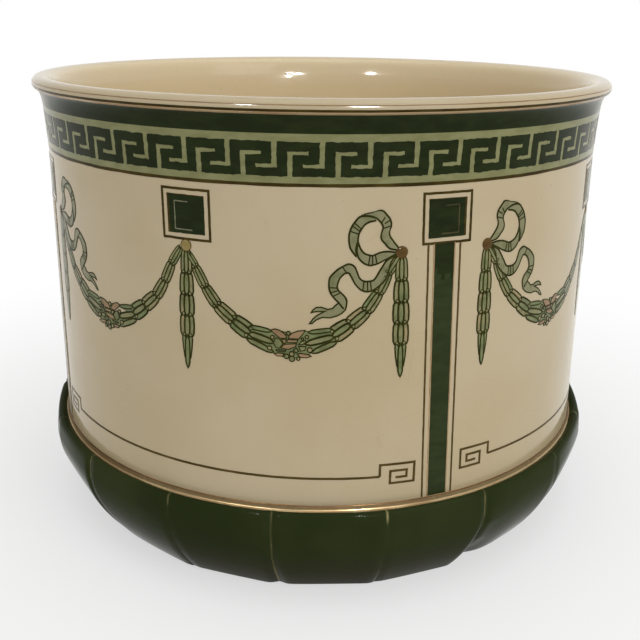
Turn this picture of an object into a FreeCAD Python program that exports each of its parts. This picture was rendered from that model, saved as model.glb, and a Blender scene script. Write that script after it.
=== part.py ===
"""Cachepot with a lobed base: a fired ceramic body under applied enamel and gilding.

Lengths are millimetres. The origin lies on the ground under the middle of the pot, +Z is up and
the front faces -Y. Angles are measured from the front towards +X.
"""
import FreeCAD
import Part
import Sketcher
import math
import os

from FreeCAD import Vector

AXIS = Vector(0, 0, 1)
ORIGIN = Vector(0, 0, 0)

# Driving dimensions. Heights of ornament are taken from the top of the base.
SIZES = {
    # Fired body
    "base_height": 45.0,
    "wall_height": 151.2,
    "collar_height": 6.8,
    "lip_height": 5.4,
    "wall_foot_radius": 132.0,
    "wall_taper": 2.3,
    "wall_thickness": 7.0,
    "collar_spread": 1.7,
    "lip_overhang": 2.3,
    "lip_thickness": 9.8,
    "lip_round": 2.6,
    # Lobed base
    "shoulder_step": 1.6,
    "shoulder_height": 7.0,
    "belly_swell": 5.7,
    "foot_tuck": 20.8,
    "foot_lift": 1.2,
    "crease_depth": 2.0,
    "lobe_count": 18,
    "lobe_turn": 12.6,
    # Floor and foot
    "floor_thickness": 6.0,
    "floor_edge_wall": 3.5,
    "ledge_width": 8.0,
    "ledge_height": 6.0,
    "cavity_slope_height": 14.0,
    "foot_ring_width": 12.0,
    "lute_gap": 0.3,
    # Enamel and gilding
    "bond_line": 0.02,
    "enamel_thickness": 0.3,
    "overlay_thickness": 0.2,
    "enamel_gap": 0.4,
    "base_gilding_height": 2.4,
    "lip_gilding_height": 1.0,
    # Meander border
    "border_drop": 18.2,
    "border_line_height": 1.0,
    "key_margin_low": 1.9,
    "key_margin_high": 2.8,
    "key_line_width": 1.5,
    "key_count": 48,
    "key_turn": -2.0,
    # Squares and pilasters
    "station_count": 8,
    "square_gap": 3.8,
    "square_width": 19.4,
    "square_height": 18.8,
    "square_line_width": 0.8,
    "tile_inset": 1.8,
    "bevel_inset": 2.1,
    "bevel_line_width": 0.4,
    "stripe_width": 8.6,
    "stripe_edge_inset": 0.6,
    "stripe_edge_width": 0.5,
    "outline_spacing": 13.5,
    "outline_width": 0.7,
    # Festoons
    "knot_gap": 0.2,
    "knot_radius": 2.3,
    "bow_offset": 18.3,
    "bow_width": 19.0,
    "bow_rise": 15.0,
    "tail_reach": 32.0,
    "tail_fall": 25.0,
    "ribbon_width": 2.8,
    "leaf_drop_length": 50.0,
    "leaf_drop_width": 6.4,
    "leaf_drop_tiers": 5,
    "swag_fall": 36.0,
    "swag_width": 8.2,
    "swag_end_width": 4.0,
    "swag_leaf_pairs": 13,
    "wrap_width": 7.0,
    "wrap_height": 4.4,
    # Fret
    "fret_height": 15.1,
    "fret_line_width": 0.75,
    "fret_pilaster_gap": 3.3,
    "scroll_width": 14.6,
    "scroll_height": 8.6,
    # Room that every cut runs past the piece it cuts
    "cut_overrun": 6.0,
}

# Sizes worked out from the driving dimensions, as formulas of the same sheet.
DERIVED = {
    "wall_top_radius": "wall_foot_radius - wall_taper",
    "collar_top_radius": "wall_top_radius + collar_spread",
    "lip_outer_radius": "collar_top_radius + lip_overhang",
    "base_top_radius": "wall_foot_radius + shoulder_step",
    "belly_radius": "base_top_radius + belly_swell",
    "belly_height": "base_height - shoulder_height",
    "foot_edge_radius": "belly_radius - foot_tuck",
    "floor_radius": "foot_edge_radius - floor_edge_wall",
    "border_line_foot": "wall_height - border_drop",
    "square_foot": "border_line_foot - square_gap - square_height",
    "knot_height": "square_foot - knot_gap - knot_radius",
    "wall_foot_bore": "wall_foot_radius - wall_thickness",
    "wall_top_bore": "wall_top_radius - wall_thickness",
    "wall_top": "base_height + wall_height",
    "collar_top": "wall_top + collar_height",
    "lip_top": "collar_top + lip_height",
    "lip_bore": "lip_outer_radius - lip_thickness",
    "floor_top": "ledge_height + floor_thickness",
    "floor_edge_radius": "floor_radius - lute_gap",
    "ledge_bore": "floor_radius - ledge_width",
    "foot_ring_radius": "ledge_bore - lute_gap",
    "foot_ring_bore": "foot_ring_radius - foot_ring_width",
    "cavity_slope_top": "floor_top + cavity_slope_height",
    "wall_draft": "wall_taper / wall_height",
    "gilding_top": "base_height + base_gilding_height",
    "gilding_foot_wall": "wall_foot_radius + bond_line",
    "gilding_foot_radius": "gilding_foot_wall + enamel_thickness",
    "gilding_top_wall": "gilding_foot_wall - wall_draft * base_gilding_height",
    "gilding_top_radius": "gilding_top_wall + enamel_thickness",
    "border_foot": "base_height + border_line_foot",
    "border_top": "border_foot + border_line_height",
    "border_foot_wall": "gilding_foot_wall - wall_draft * border_line_foot",
    "border_top_wall": "border_foot_wall - wall_draft * border_line_height",
    "border_foot_radius": "border_foot_wall + enamel_thickness",
    "border_top_radius": "border_top_wall + enamel_thickness",
    "band_top_wall": "wall_top_radius + bond_line",
    "band_top_radius": "band_top_wall + enamel_thickness",
    "green_top": "collar_top - lip_gilding_height",
    "collar_flare": "collar_spread / collar_height",
    "lip_gilding_wall": "collar_top_radius + bond_line",
    "green_top_wall": "lip_gilding_wall - collar_flare * lip_gilding_height",
    "green_top_radius": "green_top_wall + enamel_thickness",
    "lip_gilding_radius": "lip_gilding_wall + enamel_thickness",
    "key_low": "border_top + key_margin_low",
    "key_high": "wall_top - key_margin_high",
    "tile_width": "square_width - 2 * (square_line_width + tile_inset)",
    "tile_height": "square_height - 2 * (square_line_width + tile_inset)",
    "station_step": "360 / station_count",
}

# Pale lines in one unit of the meander, as shares of its pitch (across) and of its height (up).
KEY_RISE_SHARE = 0.13
KEY_RISE_HOOK_SHARE = 0.58
KEY_RISE_TOP_SHARE = 0.80
KEY_FALL_SHARE = 0.87
KEY_FALL_HOOK_SHARE = 0.44
KEY_FALL_FOOT_SHARE = 0.25

# Levels of the base's shoulder and flank, with the depth of the creases and the flatness of the panels there.
SHOULDER_SHARES = (1.0, 0.75, 0.35, 0.0)
SHOULDER_CREASE_SHARES = (0.3, 0.7, 1.0, 1.0)
SHOULDER_FLATNESS_SHARES = (0.0, 0.1, 0.3, 0.5)
FLANK_SHARES = (0.22, 0.48, 0.72, 0.88, 1.0)
FLANK_CREASE_SHARES = (1.0, 1.0, 0.9, 0.8, 0.7)
FLANK_FLATNESS_SHARES = (0.65, 0.75, 0.85, 0.9, 0.9)
FLANK_TAPER_SHARE = 0.6
FLANK_TURN_POWER = 4
CREASE_WIDTH_SHARE = 0.1

# A bow's loop and tail, from its knot: shares of the bow's width and rise, and the tail's reach and fall.
LOOP_SHARES = (
    (0.05, 0.06),
    (0.24, 0.45),
    (0.36, 0.98),
    (0.60, 0.95),
    (0.84, 0.76),
    (0.97, 0.40),
    (0.86, -0.02),
    (0.64, -0.26),
    (0.36, -0.20),
)
TAIL_SHARES = (
    (0.04, -0.06),
    (0.16, -0.22),
    (0.33, -0.47),
    (0.44, -0.44),
    (0.56, -0.25),
    (0.68, -0.22),
    (0.79, -0.38),
    (0.74, -0.60),
    (0.70, -0.76),
    (0.80, -0.90),
    (0.94, -0.97),
)
RIBBON_STEPS = 44

# One tier of a leaf drop: the notch beside the stem and the waist, as shares of the drop's width.
DROP_WAIST_SHARE = 0.22
DROP_TIP_SHARE = 0.30
DROP_FLARE_SHARE = 0.22

# The scalloped edge of a swag, between the leaf tips, as a share of its width, and the sag of its curve.
SWAG_NOTCH_SHARE = 0.72
SWAG_SAG_POWER = 2.3

# The squared scroll of the fret, as shares of its width and height, from the line inwards.
SCROLL_SHARES = (
    (0.0, 0.0),
    (0.0, 0.61),
    (1.0, 0.61),
    (1.0, -0.39),
    (0.30, -0.39),
    (0.30, 0.25),
    (0.78, 0.25),
    (0.78, -0.10),
    (0.46, -0.10),
)

doc = FreeCAD.newDocument("cachepot")
sheet = doc.addObject("Spreadsheet::Sheet", "sizes")


def fill_sheet():
    """Write every size and formula into the sheet, one named cell each."""
    cells = [(name, str(value)) for name, value in SIZES.items()]
    cells += [(name, "=" + formula) for name, formula in DERIVED.items()]
    for row, (name, content) in enumerate(cells, start=1):
        sheet.set(f"A{row}", name)
        sheet.set(f"B{row}", content)
        sheet.setAlias(f"B{row}", name)
    doc.recompute()


fill_sheet()


def size(name):
    """Value of a named cell of the sheet."""
    return float(sheet.get(name))


def count(name):
    """Value of a named cell that counts things."""
    return int(round(size(name)))


# Outlines and turned bodies

def origin_feature(body, role):
    """One of a body's own origin planes or axes."""
    return next(item for item in body.Origin.OriginFeatures if item.Role == role)


def outline_sketch(body, name, loops):
    """Sketch on the body's XZ plane: closed loops of corners, each a pair of cell names."""
    sketch = body.newObject("Sketcher::SketchObject", name)
    sketch.AttachmentSupport = [(origin_feature(body, "XZ_Plane"), "")]
    sketch.MapMode = "FlatFace"
    for corners in loops:
        places = [Vector(size(across), size(up), 0) for across, up in corners]
        first = sketch.GeometryCount
        total = len(places)
        for index in range(total):
            sketch.addGeometry(Part.LineSegment(places[index], places[(index + 1) % total]))
        for index in range(total):
            after = first + (index + 1) % total
            sketch.addConstraint(Sketcher.Constraint("Coincident", first + index, 2, after, 1))
        for index, (across, up) in enumerate(corners):
            bind_corner(sketch, first + index, across, up)
    return sketch


def bind_corner(sketch, line, across, up):
    """Tie the start of a line to two cells of the sheet."""
    for kind, cell in (("DistanceX", across), ("DistanceY", up)):
        place = sketch.addConstraint(Sketcher.Constraint(kind, -1, 1, line, 1, size(cell)))
        sketch.setExpression(f"Constraints[{place}]", f"{sheet.Name}.{cell}")


def turned_body(label, corners):
    """Body turned about the pot's axis from a closed outline of radii and heights."""
    body = doc.addObject("PartDesign::Body", label)
    body.Label = label
    sketch = outline_sketch(body, label + "_outline", [corners])
    turn = body.newObject("PartDesign::Revolution", label + "_turn")
    turn.Profile = sketch
    turn.ReferenceAxis = (sketch, ["V_Axis"])
    turn.Angle = 360
    body.Tip = turn
    doc.recompute()
    return body


# Enamel laid on the wall

def wall_radius(height):
    """Outer radius of the wall at a height above the ground."""
    return size("wall_foot_radius") - size("wall_draft") * (height - size("base_height"))


def wall_point(along, height):
    """Point of the front plane that lies behind a place on the wall, given along the wall and up."""
    radius = wall_radius(height)
    return Vector(radius * math.sin(along / radius), 0, height)


def wall_face(places):
    """Flat face from a closed outline of places on the wall."""
    corners = [wall_point(along, height) for along, height in places]
    return Part.Face(Part.makePolygon(corners + corners[:1]))


def coat(face, level, thickness):
    """Film of enamel with the outline of a face, standing on the wall at a level above its surface."""
    low = face.BoundBox.ZMin - size("cut_overrun")
    high = face.BoundBox.ZMax + size("cut_overrun")
    level += size("bond_line")
    inner = (wall_radius(low) + level, wall_radius(high) + level)
    corners = [
        Vector(inner[0], 0, low),
        Vector(inner[0] + thickness, 0, low),
        Vector(inner[1] + thickness, 0, high),
        Vector(inner[1], 0, high),
    ]
    shell = Part.Face(Part.makePolygon(corners + corners[:1])).revolve(ORIGIN, AXIS, 360)
    reach = size("wall_foot_radius") + size("cut_overrun")
    return face.extrude(Vector(0, -reach, 0)).common(shell)


def enamel(face):
    """Film that lies on the bare wall."""
    return coat(face, 0, size("enamel_thickness"))


def overlay(face):
    """Film that lies on a first coat of enamel."""
    return coat(face, size("enamel_thickness") + size("bond_line"), size("overlay_thickness"))


def rectangle(middle, low, width, height):
    """Outline of an upright rectangle on the wall."""
    left = middle - width / 2
    right = middle + width / 2
    return [(left, low), (right, low), (right, low + height), (left, low + height)]


def turned_copies(shape, angles):
    """Copies of a shape turned about the pot's axis."""
    copies = []
    for angle in angles:
        copy = shape.copy()
        copy.rotate(ORIGIN, AXIS, angle)
        copies.append(copy)
    return copies


def mirrored(shape):
    """Mirror image of a shape across the front plane of its station."""
    return shape.mirror(ORIGIN, Vector(1, 0, 0))


def shaped_node(label, solids):
    """Node that holds a group of separate solids."""
    node = doc.addObject("Part::Feature", label)
    node.Label = label
    flat = [solid for shape in solids for solid in shape.Solids]
    node.Shape = flat[0] if len(flat) == 1 else Part.makeCompound(flat)
    node.Placement = FreeCAD.Placement()
    return node


def stations(kind):
    """Angles of the plain squares (kind -1) or of the squares on pilasters (kind 1)."""
    step = size("station_step")
    return [kind * step / 2 + 2 * step * turn for turn in range(count("station_count") // 2)]


def all_stations():
    """Angles of every square."""
    return stations(-1) + stations(1)


# Fired body

def build_wall():
    """Tall wall with a slight draft, standing on the base."""
    return turned_body("cylinder_wall", [
        ("wall_foot_bore", "base_height"),
        ("wall_foot_radius", "base_height"),
        ("wall_top_radius", "wall_top"),
        ("wall_top_bore", "wall_top"),
    ])


def build_lip():
    """Flared collar with the rounded lip on it."""
    body = turned_body("rim_lip", [
        ("wall_top_bore", "wall_top"),
        ("wall_top_radius", "wall_top"),
        ("collar_top_radius", "collar_top"),
        ("lip_outer_radius", "collar_top"),
        ("lip_outer_radius", "lip_top"),
        ("lip_bore", "lip_top"),
        ("lip_bore", "collar_top"),
    ])
    turned = body.Tip
    middle = (size("collar_top") + size("lip_top")) / 2
    edges = []
    for index, edge in enumerate(turned.Shape.Edges):
        if edge.BoundBox.ZMin > middle and isinstance(edge.Curve, Part.Circle):
            edges.append(f"Edge{index + 1}")
    roll = body.newObject("PartDesign::Fillet", "rim_lip_roll")
    roll.Base = (turned, edges)
    roll.setExpression("Radius", f"{sheet.Name}.lip_round")
    body.Tip = roll
    return body


def base_levels():
    """Height, panel radius, crease depth and panel flatness of each section of the base."""
    shoulder = size("base_height") - size("belly_height")
    spread = size("belly_radius") - size("base_top_radius")
    depth = size("crease_depth")
    levels = []
    for share, crease, flat in zip(SHOULDER_SHARES, SHOULDER_CREASE_SHARES, SHOULDER_FLATNESS_SHARES):
        radius = size("base_top_radius") + spread * math.sqrt(1 - share * share)
        levels.append((size("belly_height") + shoulder * share, radius, depth * crease, flat))
    flank = size("belly_height") - size("foot_lift")
    fall = size("belly_radius") - size("foot_edge_radius")
    for share, crease, flat in zip(FLANK_SHARES, FLANK_CREASE_SHARES, FLANK_FLATNESS_SHARES):
        inward = FLANK_TAPER_SHARE * share + (1 - FLANK_TAPER_SHARE) * share ** FLANK_TURN_POWER
        radius = size("belly_radius") - fall * inward
        levels.append((size("belly_height") - flank * share, radius, depth * crease, flat))
    return levels


def lobed_wire(height, middle, crease, flat):
    """Closed section of the base: nearly flat panels that dip into a narrow crease at each side."""
    lobes = count("lobe_count")
    step = 2 * math.pi / lobes
    turn = math.radians(size("lobe_turn"))
    reach = step * (1 / 2 - CREASE_WIDTH_SHARE)
    corner = middle * (1 + flat * (1 / math.cos(reach) - 1))
    shares = (0, CREASE_WIDTH_SHARE, 1 / 2, 1 - CREASE_WIDTH_SHARE, 1)
    radii = (corner - crease, corner, middle, corner, corner - crease)
    edges = []
    for lobe in range(lobes):
        points = []
        for share, radius in zip(shares, radii):
            angle = turn + (lobe + share) * step
            points.append(Vector(radius * math.sin(angle), -radius * math.cos(angle), height))
        edges.append(Part.LineSegment(points[0], points[1]).toShape())
        edges.append(Part.Arc(points[1], points[2], points[3]).toShape())
        edges.append(Part.LineSegment(points[3], points[4]).toShape())
    return Part.Wire(edges)


def build_base():
    """Lobed bowl under the wall, hollow, with a ledge for the floor."""
    sections = [lobed_wire(*level) for level in reversed(base_levels())]
    bowl = Part.makeLoft(sections, True, False)
    over = size("base_height") + size("cut_overrun")
    under = -size("cut_overrun")
    corners = [
        Vector(0, 0, under),
        Vector(size("ledge_bore"), 0, under),
        Vector(size("ledge_bore"), 0, size("ledge_height")),
        Vector(size("floor_radius"), 0, size("ledge_height")),
        Vector(size("floor_radius"), 0, size("floor_top")),
        Vector(size("wall_foot_bore"), 0, size("cavity_slope_top")),
        Vector(size("wall_foot_bore"), 0, over),
        Vector(0, 0, over),
    ]
    cavity = Part.Face(Part.makePolygon(corners + corners[:1])).revolve(ORIGIN, AXIS, 360)
    return shaped_node("lobed_base", [bowl.cut(cavity)])


def build_floor():
    """Floor slab that lies on the base's ledge."""
    node = doc.addObject("Part::Cylinder", "floor_disc")
    node.Label = "floor_disc"
    node.setExpression("Radius", f"{sheet.Name}.floor_edge_radius")
    node.setExpression("Height", f"{sheet.Name}.floor_thickness")
    node.setExpression("Placement.Base.z", f"{sheet.Name}.ledge_height")
    return node


def build_foot():
    """Ground foot ring under the floor, which the pot stands on."""
    outer = doc.addObject("Part::Cylinder", "foot_ring_blank")
    outer.setExpression("Radius", f"{sheet.Name}.foot_ring_radius")
    outer.setExpression("Height", f"{sheet.Name}.ledge_height")
    bore = doc.addObject("Part::Cylinder", "foot_ring_hole")
    bore.setExpression("Radius", f"{sheet.Name}.foot_ring_bore")
    bore.setExpression("Height", f"{sheet.Name}.ledge_height")
    node = doc.addObject("Part::Cut", "foot_ring")
    node.Label = "foot_ring"
    node.Base = outer
    node.Tool = bore
    return node


# Bands

def build_bands():
    """Turned coats of enamel and gilding, from the base upwards."""
    return [
        turned_body("base_gilt_band", [
            ("gilding_foot_wall", "base_height"),
            ("gilding_foot_radius", "base_height"),
            ("gilding_top_radius", "gilding_top"),
            ("gilding_top_wall", "gilding_top"),
        ]),
        turned_body("meander_border_line", [
            ("border_foot_wall", "border_foot"),
            ("border_foot_radius", "border_foot"),
            ("border_top_radius", "border_top"),
            ("border_top_wall", "border_top"),
        ]),
        turned_body("meander_ground_band", [
            ("border_top_wall", "border_top"),
            ("border_top_radius", "border_top"),
            ("band_top_radius", "wall_top"),
            ("band_top_wall", "wall_top"),
        ]),
        turned_body("rim_green_band", [
            ("band_top_wall", "wall_top"),
            ("band_top_radius", "wall_top"),
            ("green_top_radius", "green_top"),
            ("green_top_wall", "green_top"),
        ]),
        turned_body("lip_gilt_line", [
            ("green_top_wall", "green_top"),
            ("green_top_radius", "green_top"),
            ("lip_gilding_radius", "collar_top"),
            ("lip_gilding_wall", "collar_top"),
        ]),
    ]


def key_outline():
    """Dark part of one unit of the meander: a block that two hooked pale lines run into."""
    low = size("key_low")
    high = size("key_high")
    zone = high - low
    pitch = 2 * math.pi * wall_radius(high) / count("key_count")
    line = size("key_line_width")
    rise = pitch * KEY_RISE_SHARE
    rise_end = pitch * KEY_RISE_HOOK_SHARE
    rise_top = low + zone * KEY_RISE_TOP_SHARE
    fall = pitch * KEY_FALL_SHARE
    fall_end = pitch * KEY_FALL_HOOK_SHARE
    fall_foot = low + zone * KEY_FALL_FOOT_SHARE
    corners = [
        (0, low),
        (rise - line / 2, low),
        (rise - line / 2, rise_top),
        (rise_end, rise_top),
        (rise_end, rise_top - line),
        (rise + line / 2, rise_top - line),
        (rise + line / 2, low),
        (pitch, low),
        (pitch, high),
        (fall + line / 2, high),
        (fall + line / 2, fall_foot),
        (fall_end, fall_foot),
        (fall_end, fall_foot + line),
        (fall - line / 2, fall_foot + line),
        (fall - line / 2, high),
        (0, high),
    ]
    return [(along - pitch / 2, height) for along, height in corners]


def build_keys():
    """Dark meander on the pale band, laid unit by unit."""
    unit_film = overlay(wall_face(key_outline()))
    keys = count("key_count")
    angles = [size("key_turn") + 360 * key / keys for key in range(keys)]
    return shaped_node("meander_keys", turned_copies(unit_film, angles))


# Squares and pilasters

def square_ring(inset, line):
    """Square line of a station, a distance inside the outer edge of its frame."""
    low = size("base_height") + size("square_foot") + inset
    width = size("square_width") - 2 * inset
    height = size("square_height") - 2 * inset
    outer = wall_face(rectangle(0, low, width, height))
    inner = wall_face(rectangle(0, low + line, width - 2 * line, height - 2 * line))
    return outer.cut(inner)


def build_squares():
    """Frame, tile and fine inner line of the eight squares."""
    line = size("square_line_width")
    inset = line + size("tile_inset")
    low = size("base_height") + size("square_foot") + inset
    tile = wall_face(rectangle(0, low, size("tile_width"), size("tile_height")))
    frame = enamel(square_ring(0, line))
    bevel = overlay(square_ring(inset + size("bevel_inset"), size("bevel_line_width")))
    return [
        shaped_node("square_frames", turned_copies(frame, all_stations())),
        shaped_node("square_tiles", turned_copies(enamel(tile), all_stations())),
        shaped_node("square_bevel_lines", turned_copies(bevel, all_stations())),
    ]


def build_pilasters():
    """Dark stripe, gilt edges and outer lines of the four pilasters."""
    low = size("gilding_top") + size("enamel_gap")
    height = size("base_height") + size("square_foot") - size("enamel_gap") - low
    stripe = enamel(wall_face(rectangle(0, low, size("stripe_width"), height)))
    reach = size("stripe_width") / 2 - size("stripe_edge_inset") - size("stripe_edge_width") / 2
    edge = overlay(wall_face(rectangle(reach, low, size("stripe_edge_width"), height)))
    apart = size("outline_spacing") / 2
    line = enamel(wall_face(rectangle(apart, low, size("outline_width"), height)))
    angles = stations(1)
    return [
        shaped_node("pilaster_stripes", turned_copies(stripe, angles)),
        shaped_node("pilaster_gilt_edges", turned_copies(edge, angles) + turned_copies(mirrored(edge), angles)),
        shaped_node("pilaster_outlines", turned_copies(line, angles) + turned_copies(mirrored(line), angles)),
    ]


# Festoons. Each motif is drawn at a station in front, its bow to the right of the pilaster.

def ribbon_edges(places, width):
    """Both edges of a ribbon of even width that follows a smooth line through places on the wall."""
    curve = Part.BSplineCurve()
    curve.interpolate([Vector(along, 0, height) for along, height in places])
    edge = curve.toShape()
    near = []
    far = []
    for step in range(RIBBON_STEPS + 1):
        at = curve.FirstParameter + (curve.LastParameter - curve.FirstParameter) * step / RIBBON_STEPS
        point = edge.valueAt(at)
        heading = edge.tangentAt(at)
        side = Vector(-heading.z, 0, heading.x) * (width / 2)
        near.append((point.x + side.x, point.z + side.z))
        far.append((point.x - side.x, point.z - side.z))
    return near, far


def ribbon_face(places, width):
    """Flat face of a ribbon."""
    near, far = ribbon_edges(places, width)
    return wall_face(near + far[::-1])


def bow_places(shares, across, up):
    """Places of a bow's line from shares of its sizes, right of the pilaster."""
    height = size("base_height") + size("knot_height")
    return [(size("bow_offset") + x * across, height + z * up) for x, z in shares]


def bow_coat():
    """Loop and tail of one bow with the spot under its knot, as one film."""
    width = size("ribbon_width")
    loop = ribbon_face(bow_places(LOOP_SHARES, size("bow_width"), size("bow_rise")), width)
    tail = ribbon_face(bow_places(TAIL_SHARES, size("tail_reach"), size("tail_fall")), width)
    spot = enamel(knot_face(size("bow_offset")))
    return spot.fuse([enamel(loop), enamel(tail)]).removeSplitter()


def knot_face(middle):
    """Round knot at the height of the swags' ends."""
    height = size("base_height") + size("knot_height")
    circle = Part.Circle(wall_point(middle, height), Vector(0, 1, 0), size("knot_radius"))
    return Part.Face(Part.Wire(circle.toShape()))


def drop_face(middle):
    """Leaf drop under a knot: tiers of leaves that narrow to a point."""
    tiers = count("leaf_drop_tiers")
    top = size("base_height") + size("knot_height") - size("knot_radius") - size("enamel_gap")
    length = size("leaf_drop_length") - size("knot_radius") - size("enamel_gap")
    tier = length / tiers
    half = size("leaf_drop_width") / 2
    waist = DROP_WAIST_SHARE * half
    right = [(waist, top)]
    for index in range(tiers - 1):
        spread = half * (1 - (1 - DROP_TIP_SHARE) * index / tiers)
        low = top - tier * (index + 1)
        right.append((spread, low + tier * DROP_FLARE_SHARE))
        right.append((waist + (spread - waist) * DROP_TIP_SHARE, low))
    right.append((half * DROP_TIP_SHARE, top - length + tier * DROP_FLARE_SHARE))
    outline = right + [(0, top - length)] + [(-along, height) for along, height in right[::-1]]
    return wall_face([(middle + along, height) for along, height in outline])


def swag_half_span():
    """Half the way along the wall between the knots that a swag hangs from."""
    apart = math.radians(size("station_step")) * wall_radius(size("base_height") + size("knot_height"))
    return (apart - size("bow_offset")) / 2


def swag_face():
    """Leafy swag between two knots, drawn about its own middle."""
    half = swag_half_span()
    knots = size("base_height") + size("knot_height")
    reach = half - size("knot_radius") - size("enamel_gap")
    pairs = count("swag_leaf_pairs")
    spread = size("swag_width") - size("swag_end_width")
    upper = []
    lower = []
    for step in range(2 * pairs + 1):
        along = reach * (step / pairs - 1)
        out = abs(along) / half
        height = knots - size("swag_fall") * (1 - out ** SWAG_SAG_POWER)
        rise = SWAG_SAG_POWER * size("swag_fall") * out ** (SWAG_SAG_POWER - 1) / half
        slope = math.copysign(math.atan(rise), along)
        width = size("swag_end_width") + spread * (1 - (along / reach) ** 2)
        side = width / 2 * (1 if step % 2 else SWAG_NOTCH_SHARE)
        upper.append((along - side * math.sin(slope), height + side * math.cos(slope)))
        lower.append((along + side * math.sin(slope), height - side * math.cos(slope)))
    return wall_face(lower + upper[::-1])


def swag_angle():
    """Angle from a pilaster to the middle of the swag on its right."""
    radius = wall_radius(size("base_height") + size("knot_height"))
    return math.degrees((size("bow_offset") + swag_half_span()) / radius)


def build_festoons():
    """Knots, bows, leaf drops and swags, each on both sides of every pilaster."""
    pilasters = stations(1)
    offset = size("bow_offset")
    knot = overlay(knot_face(offset))
    plain_knot = coat(knot_face(0), 0, size("enamel_thickness") + size("overlay_thickness"))
    bow_film = bow_coat()
    drop_film = enamel(drop_face(offset)).cut(bow_film)
    plain_drop = enamel(drop_face(0))
    swag_film = enamel(swag_face())
    swag_film.rotate(ORIGIN, AXIS, swag_angle())
    far_drop = turned_copies(plain_drop, [size("station_step")])[0]
    swag_film = swag_film.cut([bow_film, drop_film, far_drop])
    swag_film = max(swag_film.Solids, key=lambda solid: solid.Volume)
    lowest = size("base_height") + size("knot_height") - size("swag_fall")
    wrap = rectangle(0, lowest - size("wrap_height") / 2, size("wrap_width"), size("wrap_height"))
    wrap_film = overlay(wall_face(wrap))
    wrap_film.rotate(ORIGIN, AXIS, swag_angle())
    pairs = {
        "bow_ribbons": bow_film,
        "swag_garlands": swag_film,
        "swag_wraps": wrap_film,
    }
    nodes = []
    for label, film in pairs.items():
        both = turned_copies(film, pilasters) + turned_copies(mirrored(film), pilasters)
        nodes.append(shaped_node(label, both))
    knots = turned_copies(knot, pilasters) + turned_copies(mirrored(knot), pilasters)
    knots += turned_copies(plain_knot, stations(-1))
    nodes.append(shaped_node("knot_studs", knots))
    drops = turned_copies(drop_film, pilasters) + turned_copies(mirrored(drop_film), pilasters)
    drops += turned_copies(plain_drop, stations(-1))
    nodes.append(shaped_node("leaf_drops", drops))
    return nodes


# Fret

def stroke(path, width):
    """Outline of a line of even width with square corners along a path of places."""
    left = []
    right = []
    half = width / 2
    last = len(path) - 1
    for index, (x, z) in enumerate(path):
        before = path[max(index - 1, 0)]
        after = path[min(index + 1, last)]
        first = unit(before, (x, z)) if index > 0 else unit((x, z), after)
        second = unit((x, z), after) if index < last else first
        share = half / (1 + first[0] * second[0] + first[1] * second[1])
        across = -(first[1] + second[1]) * share
        up = (first[0] + second[0]) * share
        left.append((x + across, z + up))
        right.append((x - across, z - up))
    return left + right[::-1]


def unit(start, end):
    """Direction from one place to another."""
    length = math.hypot(end[0] - start[0], end[1] - start[1])
    return ((end[0] - start[0]) / length, (end[1] - start[1]) / length)


def build_fret():
    """Thin line along the foot of each bay, ending in a squared scroll beside each pilaster."""
    height = size("base_height") + size("fret_height")
    bay = math.radians(2 * size("station_step")) * wall_radius(height)
    end = bay / 2 - size("outline_spacing") / 2 - size("fret_pilaster_gap")
    start = end - size("scroll_width")
    right = [(start + x * size("scroll_width"), height + z * size("scroll_height")) for x, z in SCROLL_SHARES]
    left = [(-along, up) for along, up in right[::-1]]
    line = enamel(wall_face(stroke(left + right, size("fret_line_width"))))
    return shaped_node("fret_lines", turned_copies(line, stations(-1)))


NODES = [build_wall(), build_lip(), build_base(), build_floor(), build_foot()]
NODES += build_bands()
NODES.append(build_keys())
NODES += build_squares()
NODES += build_pilasters()
NODES += build_festoons()
NODES.append(build_fret())
doc.recompute()

for item in doc.Objects:
    if "Invalid" in item.State or "Error" in item.State:
        raise RuntimeError(f"{item.Name} failed: {item.State}")
for node in NODES:
    if node.Shape.isNull() or not node.Shape.isValid():
        raise RuntimeError(f"{node.Label} has no valid shape")

os.makedirs("parts", exist_ok=True)
for node in NODES:
    node.Shape.exportStep(f"parts/{node.Label}.step")
    print(node.Label, len(node.Shape.Solids), round(node.Shape.Volume, 2))
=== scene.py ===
"""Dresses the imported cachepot: glazed body, enamel ornament, gilding and a plain studio.

Turned outlines are millimetres of radius and height above the ground. Drawings of ornament are
millimetres across the wall and up from the top of the base. Angles are degrees from the front
(-Y) towards +X.
"""
import logging
import math
from contextlib import contextmanager
from dataclasses import dataclass
from enum import Enum
from typing import Callable, Iterable, Iterator, Sequence

import bpy
import numpy as np
from mathutils import Matrix, Vector, noise


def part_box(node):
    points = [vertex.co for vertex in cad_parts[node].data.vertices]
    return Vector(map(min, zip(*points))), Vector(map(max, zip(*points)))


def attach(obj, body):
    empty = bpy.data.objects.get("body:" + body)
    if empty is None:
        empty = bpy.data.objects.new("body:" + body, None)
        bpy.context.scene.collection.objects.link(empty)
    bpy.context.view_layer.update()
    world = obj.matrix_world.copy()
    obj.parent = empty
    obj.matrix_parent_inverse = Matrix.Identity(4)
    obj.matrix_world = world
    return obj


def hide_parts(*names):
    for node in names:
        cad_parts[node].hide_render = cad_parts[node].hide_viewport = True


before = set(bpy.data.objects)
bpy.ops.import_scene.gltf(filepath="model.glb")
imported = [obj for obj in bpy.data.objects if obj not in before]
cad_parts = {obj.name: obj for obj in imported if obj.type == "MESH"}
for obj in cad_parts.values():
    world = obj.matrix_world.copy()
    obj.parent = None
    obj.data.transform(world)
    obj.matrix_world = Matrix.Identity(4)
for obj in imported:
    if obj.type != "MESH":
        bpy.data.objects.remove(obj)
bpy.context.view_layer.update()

Place = tuple[float, float]
Outline = Sequence[Place]
Colour = tuple[int, int, int]
Material = bpy.types.Material
Piece = bpy.types.Object
Socket = bpy.types.NodeSocket

MM = 0.001
FULL_TURN = 2 * math.pi
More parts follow.
